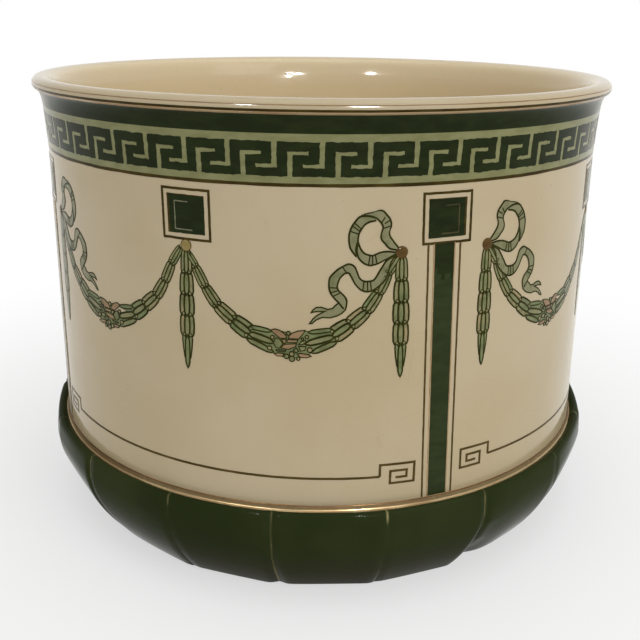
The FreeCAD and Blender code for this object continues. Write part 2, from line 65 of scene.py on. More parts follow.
# Degrees that a print leans over a metre of height, and the height above the base that it leans about.
PRINT_LEAN = 9.0
LEAN_CENTRE = 84.0
# Gap between a film and the wall, and the usual shift of a painted edge.
BOND = 0.01
STEADY_HAND = 0.06
LOG = logging.getLogger("cachepot")


# Sizes and stations that every coat of ornament shares

class Station(Enum):
    """Two kinds of square round the pot, by the angle of the one nearest to the front."""

    PLAIN = -22.3
    PILASTER = 22.4


class Hand(Enum):
    """Side of a pilaster that a motif hangs on."""

    RIGHT = 1
    LEFT = -1


@dataclass(frozen=True)
class PotForm:
    """Outside of the wall, in millimetres."""

    base_height: float
    wall_height: float
    foot_radius: float
    taper: float = 2.3
    flare: float = 1.2
    flare_start: float = 126.0
    stations: int = 8

    @classmethod
    def of_frame(cls) -> "PotForm":
        """Take the height and the radius from the CAD wall."""
        low, high = [[round(number / MM, 3) for number in corner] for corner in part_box("cylinder_wall")]
        return cls(low[2], round(high[2] - low[2], 3), high[0])

    def radius(self, up: float) -> float:
        """Outer radius of the wall at a height above the base."""
        share = max(0.0, (up - self.flare_start) / (self.wall_height - self.flare_start))
        return self.foot_radius - self.taper * up / self.wall_height + self.flare * share ** 2

    def place(self, up: float, out: float = 0.0) -> Place:
        """Radius and height above the ground of a point of the wall, or of one so far out from it."""
        return self.radius(up) + out, self.base_height + up

    def turns(self, kind: Station) -> list[float]:
        """Angles of the stations of one kind."""
        return [kind.value + 2 * 360 / self.stations * turn for turn in range(self.stations // 2)]


FORM = PotForm.of_frame()


@dataclass(frozen=True)
class Spot:
    """Where a copy of a drawing goes on the wall; the prints were laid by hand, so it may lean."""

    turn: float
    hand: Hand = Hand.RIGHT
    lean: float = 0.0

    def angle(self, up: float) -> float:
        """Angle of the drawing's middle at a height above the base, in radians."""
        return math.radians(self.turn + self.lean * (up - LEAN_CENTRE) * MM)


def spots(kind: Station, *hands: Hand) -> list[Spot]:
    """Spots at every station of one kind, for each of the hands."""
    lean = PRINT_LEAN if kind is Station.PLAIN else -PRINT_LEAN
    return [Spot(turn, hand, lean) for turn in FORM.turns(kind) for hand in hands]


# Small sums

def clamped(share: float) -> float:
    """Share kept between 0 and 1."""
    return max(0.0, min(1.0, share))


def read(curve: Outline, at: float) -> float:
    """Value of a curve of straight pieces at a place along it."""
    return float(np.interp(at, *zip(*curve)))


def chance(*seed: float) -> float:
    """Number about -1 to 1 that changes smoothly with its seed and is the same each time."""
    return noise.noise(Vector(seed))


def smooth_line(points: Sequence[Sequence[float]], spans: int) -> np.ndarray:
    """Points on a smooth line through given points.

    Args:
        points: Places, with any number of values each.
        spans: Steps between each two of them.

    Returns:
        A row for each point of the line.
    """
    knots = np.asarray(points, float)
    knots = np.vstack([2 * knots[0] - knots[1], knots, 2 * knots[-1] - knots[-2]])
    line = []
    for before, start, end, after in zip(knots, knots[1:], knots[2:], knots[3:]):
        for t in np.arange(spans) / spans:
            bend = 2 * before - 5 * start + 4 * end - after
            twist = 3 * (start - end) + after - before
            line.append(start + t / 2 * (end - before + t * (bend + t * twist)))
    return np.array(line + [knots[-2]])


# Bench work

def deselect() -> None:
    """Leave nothing selected, so that an operator acts on its own piece alone."""
    bpy.ops.object.select_all(action="DESELECT")


def take_up(piece: Piece) -> None:
    """Make a piece the one that operators act on."""
    deselect()
    piece.select_set(True)
    bpy.context.view_layer.objects.active = piece


@contextmanager
def editing(piece: Piece) -> Iterator[None]:
    """Edit mode on one piece alone."""
    take_up(piece)
    bpy.ops.object.mode_set(mode="EDIT")
    yield
    bpy.ops.object.mode_set(mode="OBJECT")


def named(name: str) -> Piece:
    """Name the object that an operator has just added."""
    piece = bpy.context.active_object
    piece.name = name
    piece.data.name = name
    return piece


def turned(name: str, outline: Outline, steps: int, closed: bool = True) -> Piece:
    """Turn an outline about the pot's axis.

    Args:
        name: Name of the new piece.
        outline: Radii and heights in millimetres.
        steps: Segments round the axis.
        closed: Whether the outline runs back to its start; one between two points of the axis doesn't.

    Returns:
        The turned piece, with its seam merged and its faces outwards.
    """
    deselect()
    bpy.ops.mesh.primitive_plane_add(size=MM, location=(0, 0, 0))
    piece = named(name)
    places = [Vector((radius * MM, 0, height * MM)) for radius, height in outline]
    ends = places[1:] + places[:1] if closed else places[1:]
    with editing(piece):
        bpy.ops.mesh.merge(type="CENTER")
        bpy.ops.transform.translate(value=places[0])
        for start, end in zip(places, ends):
            bpy.ops.mesh.extrude_vertices_move(TRANSFORM_OT_translate={"value": end - start})
        bpy.ops.mesh.select_all(action="SELECT")
        bpy.ops.mesh.spin(steps=steps, angle=FULL_TURN, center=(0, 0, 0), axis=(0, 0, 1))
        bpy.ops.mesh.select_all(action="SELECT")
        bpy.ops.mesh.remove_doubles(threshold=MM / 1000)
        bpy.ops.mesh.normals_make_consistent(inside=False)
    return piece


def lattice(name: str, columns: Sequence[float], rows: Sequence[float]) -> Piece:
    """Flat drawing sheet with its lines at given places.

    Args:
        name: Name of the drawing.
        columns: Places across.
        rows: Places up.

    Returns:
        The sheet.
    """
    deselect()
    bpy.ops.mesh.primitive_grid_add(x_subdivisions=len(columns) - 1, y_subdivisions=len(rows) - 1, size=2)
    piece = named(name)
    for vertex in piece.data.vertices:
        column = round((vertex.co.x + 1) / 2 * (len(columns) - 1))
        row = round((vertex.co.y + 1) / 2 * (len(rows) - 1))
        vertex.co = (columns[column], rows[row], 0)
    return piece


def pick_faces(piece: Piece, wanted: Callable[[bpy.types.MeshPolygon], bool]) -> None:
    """Select the faces of a piece that a rule wants, and no others."""
    with editing(piece):
        bpy.ops.mesh.select_mode(type="FACE")
        bpy.ops.mesh.select_all(action="DESELECT")
    for face in piece.data.polygons:
        face.select = wanted(face)


def cut_away(piece: Piece, unwanted: Callable[[Vector], bool]) -> None:
    """Delete the faces of a drawing whose middles are unwanted."""
    pick_faces(piece, lambda face: unwanted(face.center))
    with editing(piece):
        bpy.ops.mesh.delete(type="FACE")


def paint(piece: Piece, *finishes: Material) -> Piece:
    """Give a piece its materials, in the order of its slots."""
    for finish in finishes:
        piece.data.materials.append(finish)
    return piece


def between(name: str, edges: np.ndarray, shares: Callable[[float], Sequence[float]]) -> Piece:
    """Sheet that runs between two edges.

    Args:
        name: Name of the drawing.
        edges: Rows of four numbers, a place on each edge.
        shares: Gives the columns' shares of the way across, for a width.

    Returns:
        A flat drawing whose outermost columns are slot 1 where there are others, and the rest slot 0.
    """
    columns = len(shares(1.0))
    piece = lattice(name, range(columns), range(len(edges)))
    for face in piece.data.polygons:
        face.material_index = int(columns > 2 and int(face.center.x) in (0, columns - 2))
    for vertex in piece.data.vertices:
        edge = edges[round(vertex.co.y)]
        near, far = Vector(edge[:2]), Vector(edge[2:])
        share = shares(max((far - near).length, 1e-6))[round(vertex.co.x)]
        vertex.co = near.lerp(far, share).to_3d()
    return piece


def strip(name: str, edges: np.ndarray, line: float) -> Piece:
    """Painted strip between two edges, with an outline of a given width along each."""
    def shares(width: float) -> Sequence[float]:
        """Both edges and the inner sides of their outlines."""
        rim = min(line / width, 0.5)
        return 0, rim, 1 - rim, 1

    return between(name, edges, shares)


def stroke(name: str, path: Outline, width: float, spans: int = 1) -> Piece:
    """Painted line of even width along a path with mitred corners.

    Args:
        name: Name of the drawing.
        path: Corners of the line.
        width: Width of the line.
        spans: Steps between each two corners.

    Returns:
        A flat drawing with one slot.
    """
    corners = np.asarray(path, float)
    steps = np.linspace(0, len(corners) - 1, (len(corners) - 1) * spans + 1)
    points = np.stack([np.interp(steps, range(len(corners)), corners[:, axis]) for axis in (0, 1)], -1)
    heading = np.diff(points, axis=0)
    heading /= np.linalg.norm(heading, axis=1)[:, None]
    before = np.vstack([heading[:1], heading])
    after = np.vstack([heading, heading[-1:]])
    share = width / 2 / (1 + (before * after).sum(1))[:, None]
    side = np.stack([-(before + after)[:, 1], (before + after)[:, 0]], -1) * share
    return between(name, np.hstack([points + side, points - side]), lambda across: (0, 1))


def patch(name: str, outline: Outline, line: float) -> Piece:
    """Painted patch.

    Args:
        name: Name of the drawing.
        outline: Places round its edge.
        line: Width of the line inside its edge.

    Returns:
        A flat drawing whose slot 0 is the fill and slot 1 the line.
    """
    deselect()
    bpy.ops.mesh.primitive_circle_add(vertices=len(outline), radius=1, fill_type="NGON")
    piece = named(name)
    for vertex, (across, up) in zip(piece.data.vertices, outline):
        vertex.co = (across, up, 0)
    with editing(piece):
        bpy.ops.mesh.select_all(action="SELECT")
        bpy.ops.mesh.inset(thickness=line, use_even_offset=True)
    for face in piece.data.polygons:
        face.material_index = 0 if face.select else 1
    return piece


def disc(name: str, middle: Place, radius: float, line: float, sides: int) -> Piece:
    """Painted round spot with a line inside its edge."""
    angles = [FULL_TURN * side / sides for side in range(sides)]
    edge = [(middle[0] + radius * math.cos(a), middle[1] + radius * math.sin(a)) for a in angles]
    return patch(name, edge, line)


def write(piece: Piece, name: str, values: Sequence[float]) -> None:
    """Write a value on each point of a piece, for its finish to read."""
    piece.data.attributes.new(name, "FLOAT", "POINT").data.foreach_set("value", values)


def mark(piece: Piece, name: str, rule: Callable[[float, float], float]) -> None:
    """Write a value on a turned piece by a rule on radius and height in millimetres."""
    write(piece, name, [rule(math.hypot(at.co.x, at.co.y) / MM, at.co.z / MM) for at in piece.data.vertices])


def tinted(piece: Piece, tint: float, lift: float = 0.0) -> Piece:
    """Write a tint on a drawing and lift it over what it overlaps."""
    write(piece, "tint", [tint] * len(piece.data.vertices))
    piece.data.transform(Matrix.Translation((0, 0, lift)))
    return piece


def moved(piece: Piece, across: float, up: float = 0.0) -> Piece:
    """Move a drawing on its sheet."""
    piece.data.transform(Matrix.Translation((across, up, 0)))
    return piece


def copied(template: Piece) -> Piece:
    """Copy of a drawing, with its own mesh."""
    copy = bpy.data.objects.new(template.name + "_copy", template.data.copy())
    bpy.context.scene.collection.objects.link(copy)
    return copy


def joined(name: str, parts: Iterable[Piece]) -> Piece:
    """Join drawings into one piece."""
    first, *others = parts
    take_up(first)
    for part in others:
        part.select_set(True)
    if others:
        bpy.ops.object.join()
    return named(name)


def lay_on_wall(piece: Piece, spot: Spot, level: float, shake: float) -> None:
    """Carry a flat drawing onto the wall.

    Args:
        piece: Drawing in millimetres across and up, with its relief in z.
        spot: Where the drawing goes; the left hand mirrors it.
        level: Height of the film over the wall, in millimetres.
        shake: Greatest shift of a painted edge, in millimetres.
    """
    grain, other = 0.55, (31.7, -17.3)
    seed = spot.turn * 0.37 + spot.hand.value
    for vertex in piece.data.vertices:
        across, up, relief = vertex.co
        x, y = across * grain, up * grain
        across = spot.hand.value * across + shake * chance(x, y, seed)
        up += shake * chance(x + other[0], y + other[1], seed)
        radius = FORM.radius(up)
        angle = spot.angle(up) + across / radius
        out = radius + level + relief
        height = FORM.base_height + up
        vertex.co = (out * math.sin(angle) * MM, -out * math.cos(angle) * MM, height * MM)
    piece.data.update()


def films(name: str, template: Piece, places: Sequence[Spot], level: float,
          shake: float = STEADY_HAND) -> Piece:
    """Lay copies of a drawing on the wall as one piece of thin films, and throw the drawing away.

    Args:
        name: Name of the piece.
        template: Flat drawing about a station.
        places: Where each copy goes.
        level: Height of the films over the wall, in millimetres.
        shake: Greatest shift of a painted edge, in millimetres.

    Returns:
        The piece, with its films solid and facing outwards.
    """
    copies = [copied(template) for _ in places]
    for copy, spot in zip(copies, places):
        lay_on_wall(copy, spot, level, shake)
    bpy.data.objects.remove(template)
    piece = joined(name, copies)
    pick_faces(piece, lambda face: face.normal.x * face.center.x + face.normal.y * face.center.y < 0)
    with editing(piece):
        bpy.ops.mesh.flip_normals()
    coat = piece.modifiers.new("coat", "SOLIDIFY")
    coat.thickness = (level - BOND) * MM
    coat.offset = -1
    take_up(piece)
    bpy.ops.object.modifier_apply(modifier=coat.name)
    return piece


def soften(piece: Piece, angle: float = 35) -> None:
    """Smooth shading except at corners sharper than an angle."""
    take_up(piece)
    bpy.ops.object.shade_smooth_by_angle(angle=math.radians(angle))


def hand_over(piece: Piece, node: str) -> None:
    """Let a piece stand for a CAD node and ride the pot."""
    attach(piece, "root")
    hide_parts(node)
    LOG.info("%s stands for %s with %d faces", piece.name, node, len(piece.data.polygons))


# Finishes

# Pale veil that glaze and enamel show at glancing angles.
GLAZE_HAZE = {"Sheen Weight": 1.0, "Sheen Roughness": 0.2, "Sheen Tint": (0.42, 0.39, 0.29, 1.0)}
ENAMEL_HAZE = {"Sheen Weight": 1.0, "Sheen Roughness": 0.2, "Sheen Tint": (0.86, 0.83, 0.68, 1.0)}


def linear(colour: Colour) -> tuple[float, ...]:
    """Scene colour of a colour written as on a screen, 0 to 255."""
    shares = [channel / 255 for channel in colour]
    return (*(x / 12.92 if x <= 0.04045 else ((x + 0.055) / 1.055) ** 2.4 for x in shares), 1.0)


class Tree:
    """Node tree that is built step by step."""

    def __init__(self, tree: bpy.types.NodeTree) -> None:
        """Take over a tree."""
        self.nodes = tree.nodes
        self.links = tree.links

    def pour(self, node: bpy.types.Node, inputs: dict) -> None:
        """Set a node's inputs, each to a value or to the result of another node."""
        for key, value in inputs.items():
            if isinstance(value, Socket):
                self.links.new(value, node.inputs[key])
            else:
                node.inputs[key].default_value = value

    def add(self, kind: str, inputs: dict | None = None, **options: str) -> bpy.types.Node:
        """Add a node.

        Args:
            kind: Type of the node, without the start that all shader nodes share.
            inputs: Values and results for its inputs, by name or number.
            options: Settings of the node itself.

        Returns:
            The node.
        """
        node = self.nodes.new("ShaderNode" + kind)
        for name, option in options.items():
            setattr(node, name, option)
        self.pour(node, inputs or {})
        return node

    def seen(self) -> Socket:
        """Share that is 1 for what the camera sees, directly or in gloss or glass."""
        path = self.add("LightPath")
        total = path.outputs["Is Camera Ray"]
        for name in ("Is Glossy Ray", "Is Transmission Ray"):
            total = self.add("Math", {0: total, 1: path.outputs[name]}, operation="MAXIMUM").outputs["Value"]
        return total


class Recipe(Tree):
    """Finish that is mixed step by step."""

    def __init__(self, name: str) -> None:
        """Start a material with a plain shader and the piece's own coordinates."""
        self.material = bpy.data.materials.new(name)
        self.material.use_nodes = True
        super().__init__(self.material.node_tree)
        self.shader = self.nodes["Principled BSDF"]
        self.place = self.add("TexCoord").outputs["Object"]

    def stretched(self, scale: tuple[float, float, float]) -> Socket:
        """Coordinates drawn out along the axes."""
        return self.add("Mapping", {"Vector": self.place, "Scale": scale}).outputs["Vector"]

    def clouds(self, scale: float, detail: float = 3, place: Socket | None = None) -> Socket:
        """Soft noise from 0 to 1."""
        inputs = {"Vector": place or self.place, "Scale": scale, "Detail": detail}
        return self.add("TexNoise", inputs).outputs["Fac"]

    def cells(self, scale: float, feature: str = "F1") -> Socket:
        """Distance to the nearest of many scattered points, or to the lines between them."""
        inputs = {"Vector": self.place, "Scale": scale}
        return self.add("TexVoronoi", inputs, feature=feature).outputs["Distance"]

    def height(self) -> Socket:
        """Height above the ground, in metres."""
        return self.add("SeparateXYZ", {0: self.place}).outputs["Z"]

    def layer(self, name: str) -> Socket:
        """Value that the modelling wrote on the piece."""
        return self.add("Attribute", attribute_name=name).outputs["Fac"]

    def span(self, value: Socket, low: float, high: float, start: float = 0.0, end: float = 1.0) -> Socket:
        """Carry a value from one range to another, smoothly and within its ends."""
        inputs = {"Value": value, "From Min": low, "From Max": high, "To Min": start, "To Max": end}
        return self.add("MapRange", inputs, interpolation_type="SMOOTHSTEP").outputs["Result"]

    def times(self, first: Socket, second: Socket) -> Socket:
        """Product of two values."""
        return self.add("Math", {0: first, 1: second}, operation="MULTIPLY").outputs["Value"]

    def blend(self, share: Socket, first: Colour | Socket, second: Colour | Socket) -> Socket:
        """Mix two colours, each written or mixed before, by a share."""
        both = [colour if isinstance(colour, Socket) else linear(colour) for colour in (first, second)]
        return self.add("Mix", {"Factor": share, 6: both[0], 7: both[1]}, data_type="RGBA").outputs[2]

    def relief(self, height: Socket, strength: float, depth: float) -> None:
        """Let a value stand up from the surface, to a depth in millimetres."""
        bump = self.add("Bump", {"Height": height, "Strength": strength, "Distance": depth * MM})
        self.pour(self.shader, {"Normal": bump.outputs["Normal"]})

    def finish(self, colour: Socket | tuple, rough: Socket | float, gloss: float,
               **others: float | tuple) -> Material:
        """Set the shader and give the material.

        Args:
            colour: Base colour.
            rough: Roughness.
            gloss: Level of the reflection.
            others: More inputs of the shader, by name.

        Returns:
            The finished material.
        """
        inputs = {"Base Color": colour, "Roughness": rough, "Specular IOR Level": gloss, **others}
        self.pour(self.shader, inputs)
        return self.material


@dataclass(frozen=True)
class CreamGlaze:
    """Clear glaze over a cream body, mottled, with faint crazing and iron specks; the inside is the same
    cream painted paler, as painted light.
    """

    name: str = "cream_glaze"
    light: Colour = (198, 181, 148)
    deep: Colour = (192, 174, 138)
    # Same cream painted paler for the inside: painted light.
    inside: Colour = (229, 211, 174)
    speck: Colour = (120, 92, 60)
    craze: Colour = (168, 142, 106)
    gloss: float = 0.25

    def material(self) -> Material:
        """Mix the glaze."""
        mix = Recipe(self.name)
        tone = mix.blend(mix.span(mix.clouds(14), 0.35, 0.65), self.light, self.deep)
        # The inside takes the paler cream: painted light.
        tone = mix.blend(mix.layer("inside"), tone, self.inside)
        net = mix.span(mix.cells(95, "DISTANCE_TO_EDGE"), 0.0, 0.012, 0.16, 0.0)
        tone = mix.blend(mix.times(net, mix.span(mix.clouds(9), 0.4, 0.65)), tone, self.craze)
        iron = mix.span(mix.cells(210), 0.03, 0.075, 0.55, 0.0)
        tone = mix.blend(mix.times(iron, mix.span(mix.clouds(60), 0.52, 0.66)), tone, self.speck)
        mix.relief(mix.clouds(34, 2), 0.16, 0.5)
        return mix.finish(tone, mix.span(mix.clouds(55), 0.3, 0.7, 0.07, 0.14), self.gloss, **GLAZE_HAZE)


@dataclass(frozen=True)
class DarkGlaze:
    """Deep green glaze that pools on the panels, with a pale gold line down each crease whose bright top is a
    painted highlight, browner towards the bottom as a painted reflection tint, and a cream inside painted
    paler as painted light.
    """

    name: str = "dark_green_glaze"
    deep: Colour = (40, 48, 23)
    thin: Colour = (51, 58, 31)
    # Browner tone towards the bottom: painted reflection tint on the lower flank.
    low: Colour = (44, 44, 22)
    # Pale gold of the crease lines; their bright tops are painted highlight.
    edge: Colour = (172, 160, 112)
    # Cream of the inside, painted paler as painted light.
    inside: Colour = (224, 206, 169)
    gloss: float = 0.012

    def material(self) -> Material:
        """Mix the glaze."""
        mix = Recipe(self.name)
        tone = mix.blend(mix.span(mix.clouds(16, 4), 0.35, 0.7), self.deep, self.thin)
        # Browner towards the bottom: painted reflection tint.
        tone = mix.blend(mix.span(mix.height(), 0.004, 0.036, 1.0, 0.0), tone, self.low)
        # Pale crease lines, worn in places; their bright tops under the shoulder are painted highlight.
        line_wear = mix.span(mix.clouds(70), 0.36, 0.62, 0.25, 1.0)
        tone = mix.blend(mix.times(mix.layer("crease_line_glint"), line_wear), tone, self.edge)
        # Paler cream inside: painted light.
        tone = mix.blend(mix.layer("inside"), tone, self.inside)
        mix.relief(mix.clouds(26, 2), 0.2, 0.6)
        return mix.finish(tone, mix.span(mix.clouds(48), 0.3, 0.7, 0.05, 0.11), self.gloss)


@dataclass(frozen=True)
class Enamel:
    """Coloured enamel, uneven in depth as it is laid by brush, with its surface a little wavy."""

    name: str
    light: Colour
    deep: Colour
    speck: Colour
    gloss: float = 0.3
    specks: float = 0.35

    def material(self) -> Material:
        """Mix the enamel."""
        mix = Recipe(self.name)
        brush = mix.clouds(120, 4, mix.stretched((1.0, 1.0, 2.6)))
        tone = mix.blend(mix.span(brush, 0.32, 0.68), self.light, self.deep)
        dots = mix.span(mix.cells(520), 0.1, 0.24, self.specks, 0.0)
        tone = mix.blend(mix.times(dots, mix.span(mix.clouds(95), 0.48, 0.66)), tone, self.speck)
        mix.relief(mix.clouds(260), 0.12, 0.12)
        return mix.finish(tone, mix.span(mix.clouds(85), 0.3, 0.7, 0.09, 0.2), self.gloss, **ENAMEL_HAZE)


@dataclass(frozen=True)
class LeafEnamel:
    """Thin wash of leaf green whose tint changes from leaf to leaf."""

    name: str = "leaf_green_enamel"
    green: Colour = (119, 129, 85)
    warm: Colour = (160, 142, 104)
    pool: Colour = (94, 102, 62)
    gloss: float = 0.14

    def material(self) -> Material:
        """Mix the wash."""
        mix = Recipe(self.name)
        tone = mix.blend(mix.layer("tint"), self.green, self.warm)
        tone = mix.blend(mix.span(mix.clouds(240, 4), 0.42, 0.7, 0.0, 0.75), tone, self.pool)
        mix.relief(mix.clouds(420, 2), 0.15, 0.1)
        return mix.finish(tone, mix.span(mix.clouds(85), 0.3, 0.7, 0.12, 0.24), self.gloss, **ENAMEL_HAZE)


@dataclass(frozen=True)
class Gilding:
    """Burnished gold, worn to copper brown in places."""

    name: str = "gilding"
    gold: Colour = (186, 162, 120)
    worn: Colour = (144, 118, 80)
    metal: float = 0.35
    gloss: float = 0.2

    def material(self) -> Material:
        """Mix the gold."""
        mix = Recipe(self.name)
        wear = mix.span(mix.clouds(36, 6), 0.38, 0.64)
        mix.relief(mix.clouds(600, 2), 0.2, 0.1)
        tone = mix.blend(wear, self.gold, self.worn)
        return mix.finish(tone, mix.span(wear, 0, 1, 0.24, 0.42), self.gloss, Metallic=self.metal)


@dataclass(frozen=True)
class Biscuit:
    """Unglazed fired clay, ground flat and a little sandy."""

    name: str = "bare_biscuit"
    clay: Colour = (196, 178, 148)
    grain: Colour = (160, 138, 106)
    gloss: float = 0.5

    def material(self) -> Material:
        """Mix the clay."""
        mix = Recipe(self.name)
        tone = mix.blend(mix.span(mix.clouds(420, 5), 0.4, 0.7), self.clay, self.grain)
        mix.relief(mix.clouds(1400), 0.5, 0.15)
        return mix.finish(tone, mix.span(mix.clouds(300), 0.3, 0.7, 0.75, 0.92), self.gloss)


class Palette:
    """Every finish of the pot, mixed once."""

    def __init__(self) -> None:
        """Mix all finishes."""
        def enamel(name: str, light: Colour, deep: Colour, speck: Colour, **others: float) -> Material:
            """Mix one enamel."""
            return Enamel(name + "_enamel", light, deep, speck, **others).material()

        self.cream = CreamGlaze().material()
        self.dark_glaze = DarkGlaze().material()
        self.biscuit = Biscuit().material()
        self.gold = Gilding().material()
        self.dull_gold = Gilding("dull_gilding", (122, 90, 52), (80, 56, 28), metal=0.4).material()
        self.tan_gold = Gilding("worn_gilding", (182, 156, 118), (158, 128, 92), metal=0.3).material()
        self.dark = enamel("dark_green", (36, 45, 16), (29, 37, 11), (46, 56, 26), gloss=0.07)
        self.pale = enamel("pale_green", (138, 138, 94), (124, 124, 80), (92, 100, 56), gloss=0.2)
        self.outline = enamel("outline", (74, 61, 22), (54, 43, 13), (88, 74, 34), gloss=0.05)
        self.leaf_line = enamel("leaf_line", (54, 54, 15), (42, 42, 9), (68, 68, 28), gloss=0.05)
        self.leaf = LeafEnamel().material()
        self.pink = enamel("pink", (162, 136, 102), (144, 116, 84), (120, 94, 62), gloss=0.1, specks=0.5)
        self.pale_gold = enamel("pale_gold", (162, 147, 94), (142, 124, 72), (108, 92, 48), gloss=0.15)
        self.brown = enamel("brown", (104, 78, 38), (83, 61, 26), (66, 48, 20), gloss=0.1)
        self.glint = enamel("bevel_line", (128, 128, 98), (96, 96, 66), (78, 76, 48))
        self.dim = enamel("dim_line", (86, 80, 50), (64, 60, 34), (52, 46, 26), gloss=0.1)
        self.stripe = enamel("stripe", (50, 60, 32), (43, 52, 25), (58, 68, 40), gloss=0.07)
        self.fret = enamel("fret", (92, 76, 38), (74, 60, 26), (104, 86, 48), gloss=0.05)
        self.ribbon = LeafEnamel("ribbon_enamel", (130, 130, 94), (148, 141, 108), (104, 107, 68)).material()


# Fired body

@dataclass
class LobedBase:
    """Bowl of nearly flat panels with a crease between each two, as cut by hand.

    Curves give a value for each height; the lists go round the creases, of which every second is deep.
    """

    palette: Palette
    panels: int = 18
    panel_steps: int = 32
    first_crease: float = 13.1
    # Degrees that each crease is out of step, and millimetres that a lobe starts behind its neighbour.
    uneven: tuple[float, ...] = (-0.5, -1.3, 0.0, 0.5, -0.4, 0.7, -0.6, 0.2, 0.6, -0.3, 0.4, -0.7, 0.3, 0.5,
                                 -0.2, -0.6, 0.75, -0.2)
    tucks: tuple[float, ...] = (0.5, 6.2, 1.8, 2.2, 0.8, 3.4, 1.2, 2.8, 0.5, 3.6, 1.0, 2.0, 0.6, 3.0,
                                0.8, 0.4, 0.4, 0.3)
    # How far a tuck reaches before its crease and after it.
    tuck_reach: Place = (0.6, 11.0)
    tuck_fade: Outline = ((1, 1.0), (8, 0.75), (18, 0.3), (30, 0.0))
    belly_radius: float = 137.8
    belly_height: float = 38.0
    top_radius: float = 133.3
    foot_radius: float = 120.9
    foot_lift: float = 1.2
    hollow: float = 1.7
    flank_rows: int = 30
    shoulder: Outline = ((134.0, 45.5), (135.0, 46.2), (136.1, 46.5), (136.95, 46.0), (137.45, 44.7),
                         (137.7, 42.4))
    inside: Outline = ((112.6, 1.0), (110.0, 1.2), (107.0, 1.6), (107.0, 6.0), (115.0, 6.0), (115.0, 12.0),
                       (118.0, 15.5), (121.5, 20.0), (124.0, 24.0), (125.0, 28.0), (125.0, 45.0))
    rim_start: float = 43.0
    rim_width: float = 3.0
    flatness: Outline = ((1, 0.95), (14, 0.9), (30, 0.8), (38, 0.65), (44, 0.45), (47, 0.25))
    rounding: float = 0.85
    crease_depth: Outline = ((1, 1.5), (10, 1.3), (24, 0.8), (34, 0.7), (42, 0.9), (47, 0.8))
    crease_width: Outline = ((1, 3.2), (18, 2.4), (30, 1.3), (38, 1.5), (42, 2.1), (47, 2.3))
    shallow: float = 0.15
    # Width of the pale crease line.
    crease_line_width: float = 0.34
    # How much columns crowd to the creases.
    crowding: float = 1.7
    # Radius beyond which a point is outside: at the ground, and its growth with height.
    skin: Place = (117.0, 0.35)
    # Radius within which, and height above which, the glaze is the cream of the inside, painted paler as
    # painted light.
    lining: Place = (125.5, 11.0)
    # Strength of the pale crease line by height, on deep and shallow creases; the peak under the shoulder is
    # a painted highlight.
    deep_crease_line: Outline = ((1, 0.9), (12, 1.0), (28, 0.6), (41, 0.5), (44.4, 1.0), (46.2, 0.8), (47, 0.2))
    shallow_crease_line: Outline = ((1, 0.2), (12, 0.06), (28, 0.0), (41, 0.04), (44.4, 1.0), (46.2, 0.8),
                              (47, 0.2))

    def outline(self) -> list[Place]:
        """Closed outline through the middle of a panel, from its top edge down and round."""
        top, belly = (self.top_radius, FORM.base_height), (self.belly_radius, self.belly_height)
        flank = []
        for share in np.linspace(0, 1, self.flank_rows)[1:]:
            out = self.belly_radius - (self.belly_radius - self.foot_radius) * share ** self.hollow
            flank.append((out, self.belly_height - (self.belly_height - self.foot_lift) * share))
        return [*smooth_line([top, *self.shoulder, belly], 3), *flank, *self.inside]

    def build(self) -> None:
        """Turn the outline, then press it to panels."""
        base = turned("panelled_base", self.outline(), self.panels * self.panel_steps)
        step = 360 / self.panels
        crease_marks = []
        for vertex in base.data.vertices:
            out, height = math.hypot(vertex.co.x, vertex.co.y) / MM, vertex.co.z / MM
            place = math.degrees(math.atan2(vertex.co.x, -vertex.co.y)) / step
            panel = math.floor(place + 1e-6)
            share = 2 * (place - panel) - 1
            share = math.copysign(1 - max(1 - abs(share), 0) ** self.crowding, share)
            start, end = self.crease(panel), self.crease(panel + 1)
            angle = math.radians((start + end) / 2 + share * (end - start) / 2)
            # Share of the pale crease line, its top a painted highlight.
            thin = 0.0
            if out > self.skin[0] + self.skin[1] * height:
                out, thin = self.panel_surface(out, height, math.radians(share * step / 2), panel)
            vertex.co.x = out * math.sin(angle) * MM
            vertex.co.y = -out * math.cos(angle) * MM
            crease_marks.append(thin)
        write(base, "crease_line_glint", crease_marks)
        mark(base, "inside", lambda out, height: float(out < self.lining[0] and height > self.lining[1]))
        paint(base, self.palette.dark_glaze)
        soften(base, 50)
        hand_over(base, "lobed_base")

    def crease(self, number: int) -> float:
        """Angle of a crease."""
        return self.first_crease + 360 / self.panels * number + self.uneven[number % self.panels]

    def panel_surface(self, out: float, height: float, bend: float, panel: int) -> tuple[float, float]:
        """Radius of a panel at an angle from its middle, and how strongly the pale crease line shows there.

        Args:
            out: Radius in the middle of the panel.
            height: Height above the ground.
            bend: Angle from the middle of the panel.
            panel: Number of the panel.

        Returns:
            The radius and the share of the pale crease line, whose bright top is a painted highlight.
        """
        crease = (panel + int(bend > 0)) % self.panels
        is_deep = crease % 2 == 1
        half = math.pi / self.panels
        away = (half - abs(bend)) * out
        rim = clamped((out - self.top_radius) / self.rim_width) if height > self.rim_start else 1.0
        flat = rim * read(self.flatness, height)
        radius = out * (1 + flat * (1 / math.cos(min(abs(bend), half * self.rounding)) - 1))
        depth = rim * (1.0 if is_deep else self.shallow) * read(self.crease_depth, height)
        radius -= depth * math.exp(-(away / read(self.crease_width, height)) ** 2)
        tuck = self.tucks[crease] * read(self.tuck_fade, height)
        radius -= tuck * math.exp(-(away / self.tuck_reach[0 if bend > 0 else 1]) ** 2)
        run = clamped(0.5 + 1.2 * chance(height * 0.09, panel * 7.3, 1.7))
        strength = read(self.deep_crease_line if is_deep else self.shallow_crease_line, height)
        return radius, run * strength * math.exp(-(away / self.crease_line_width) ** 2)


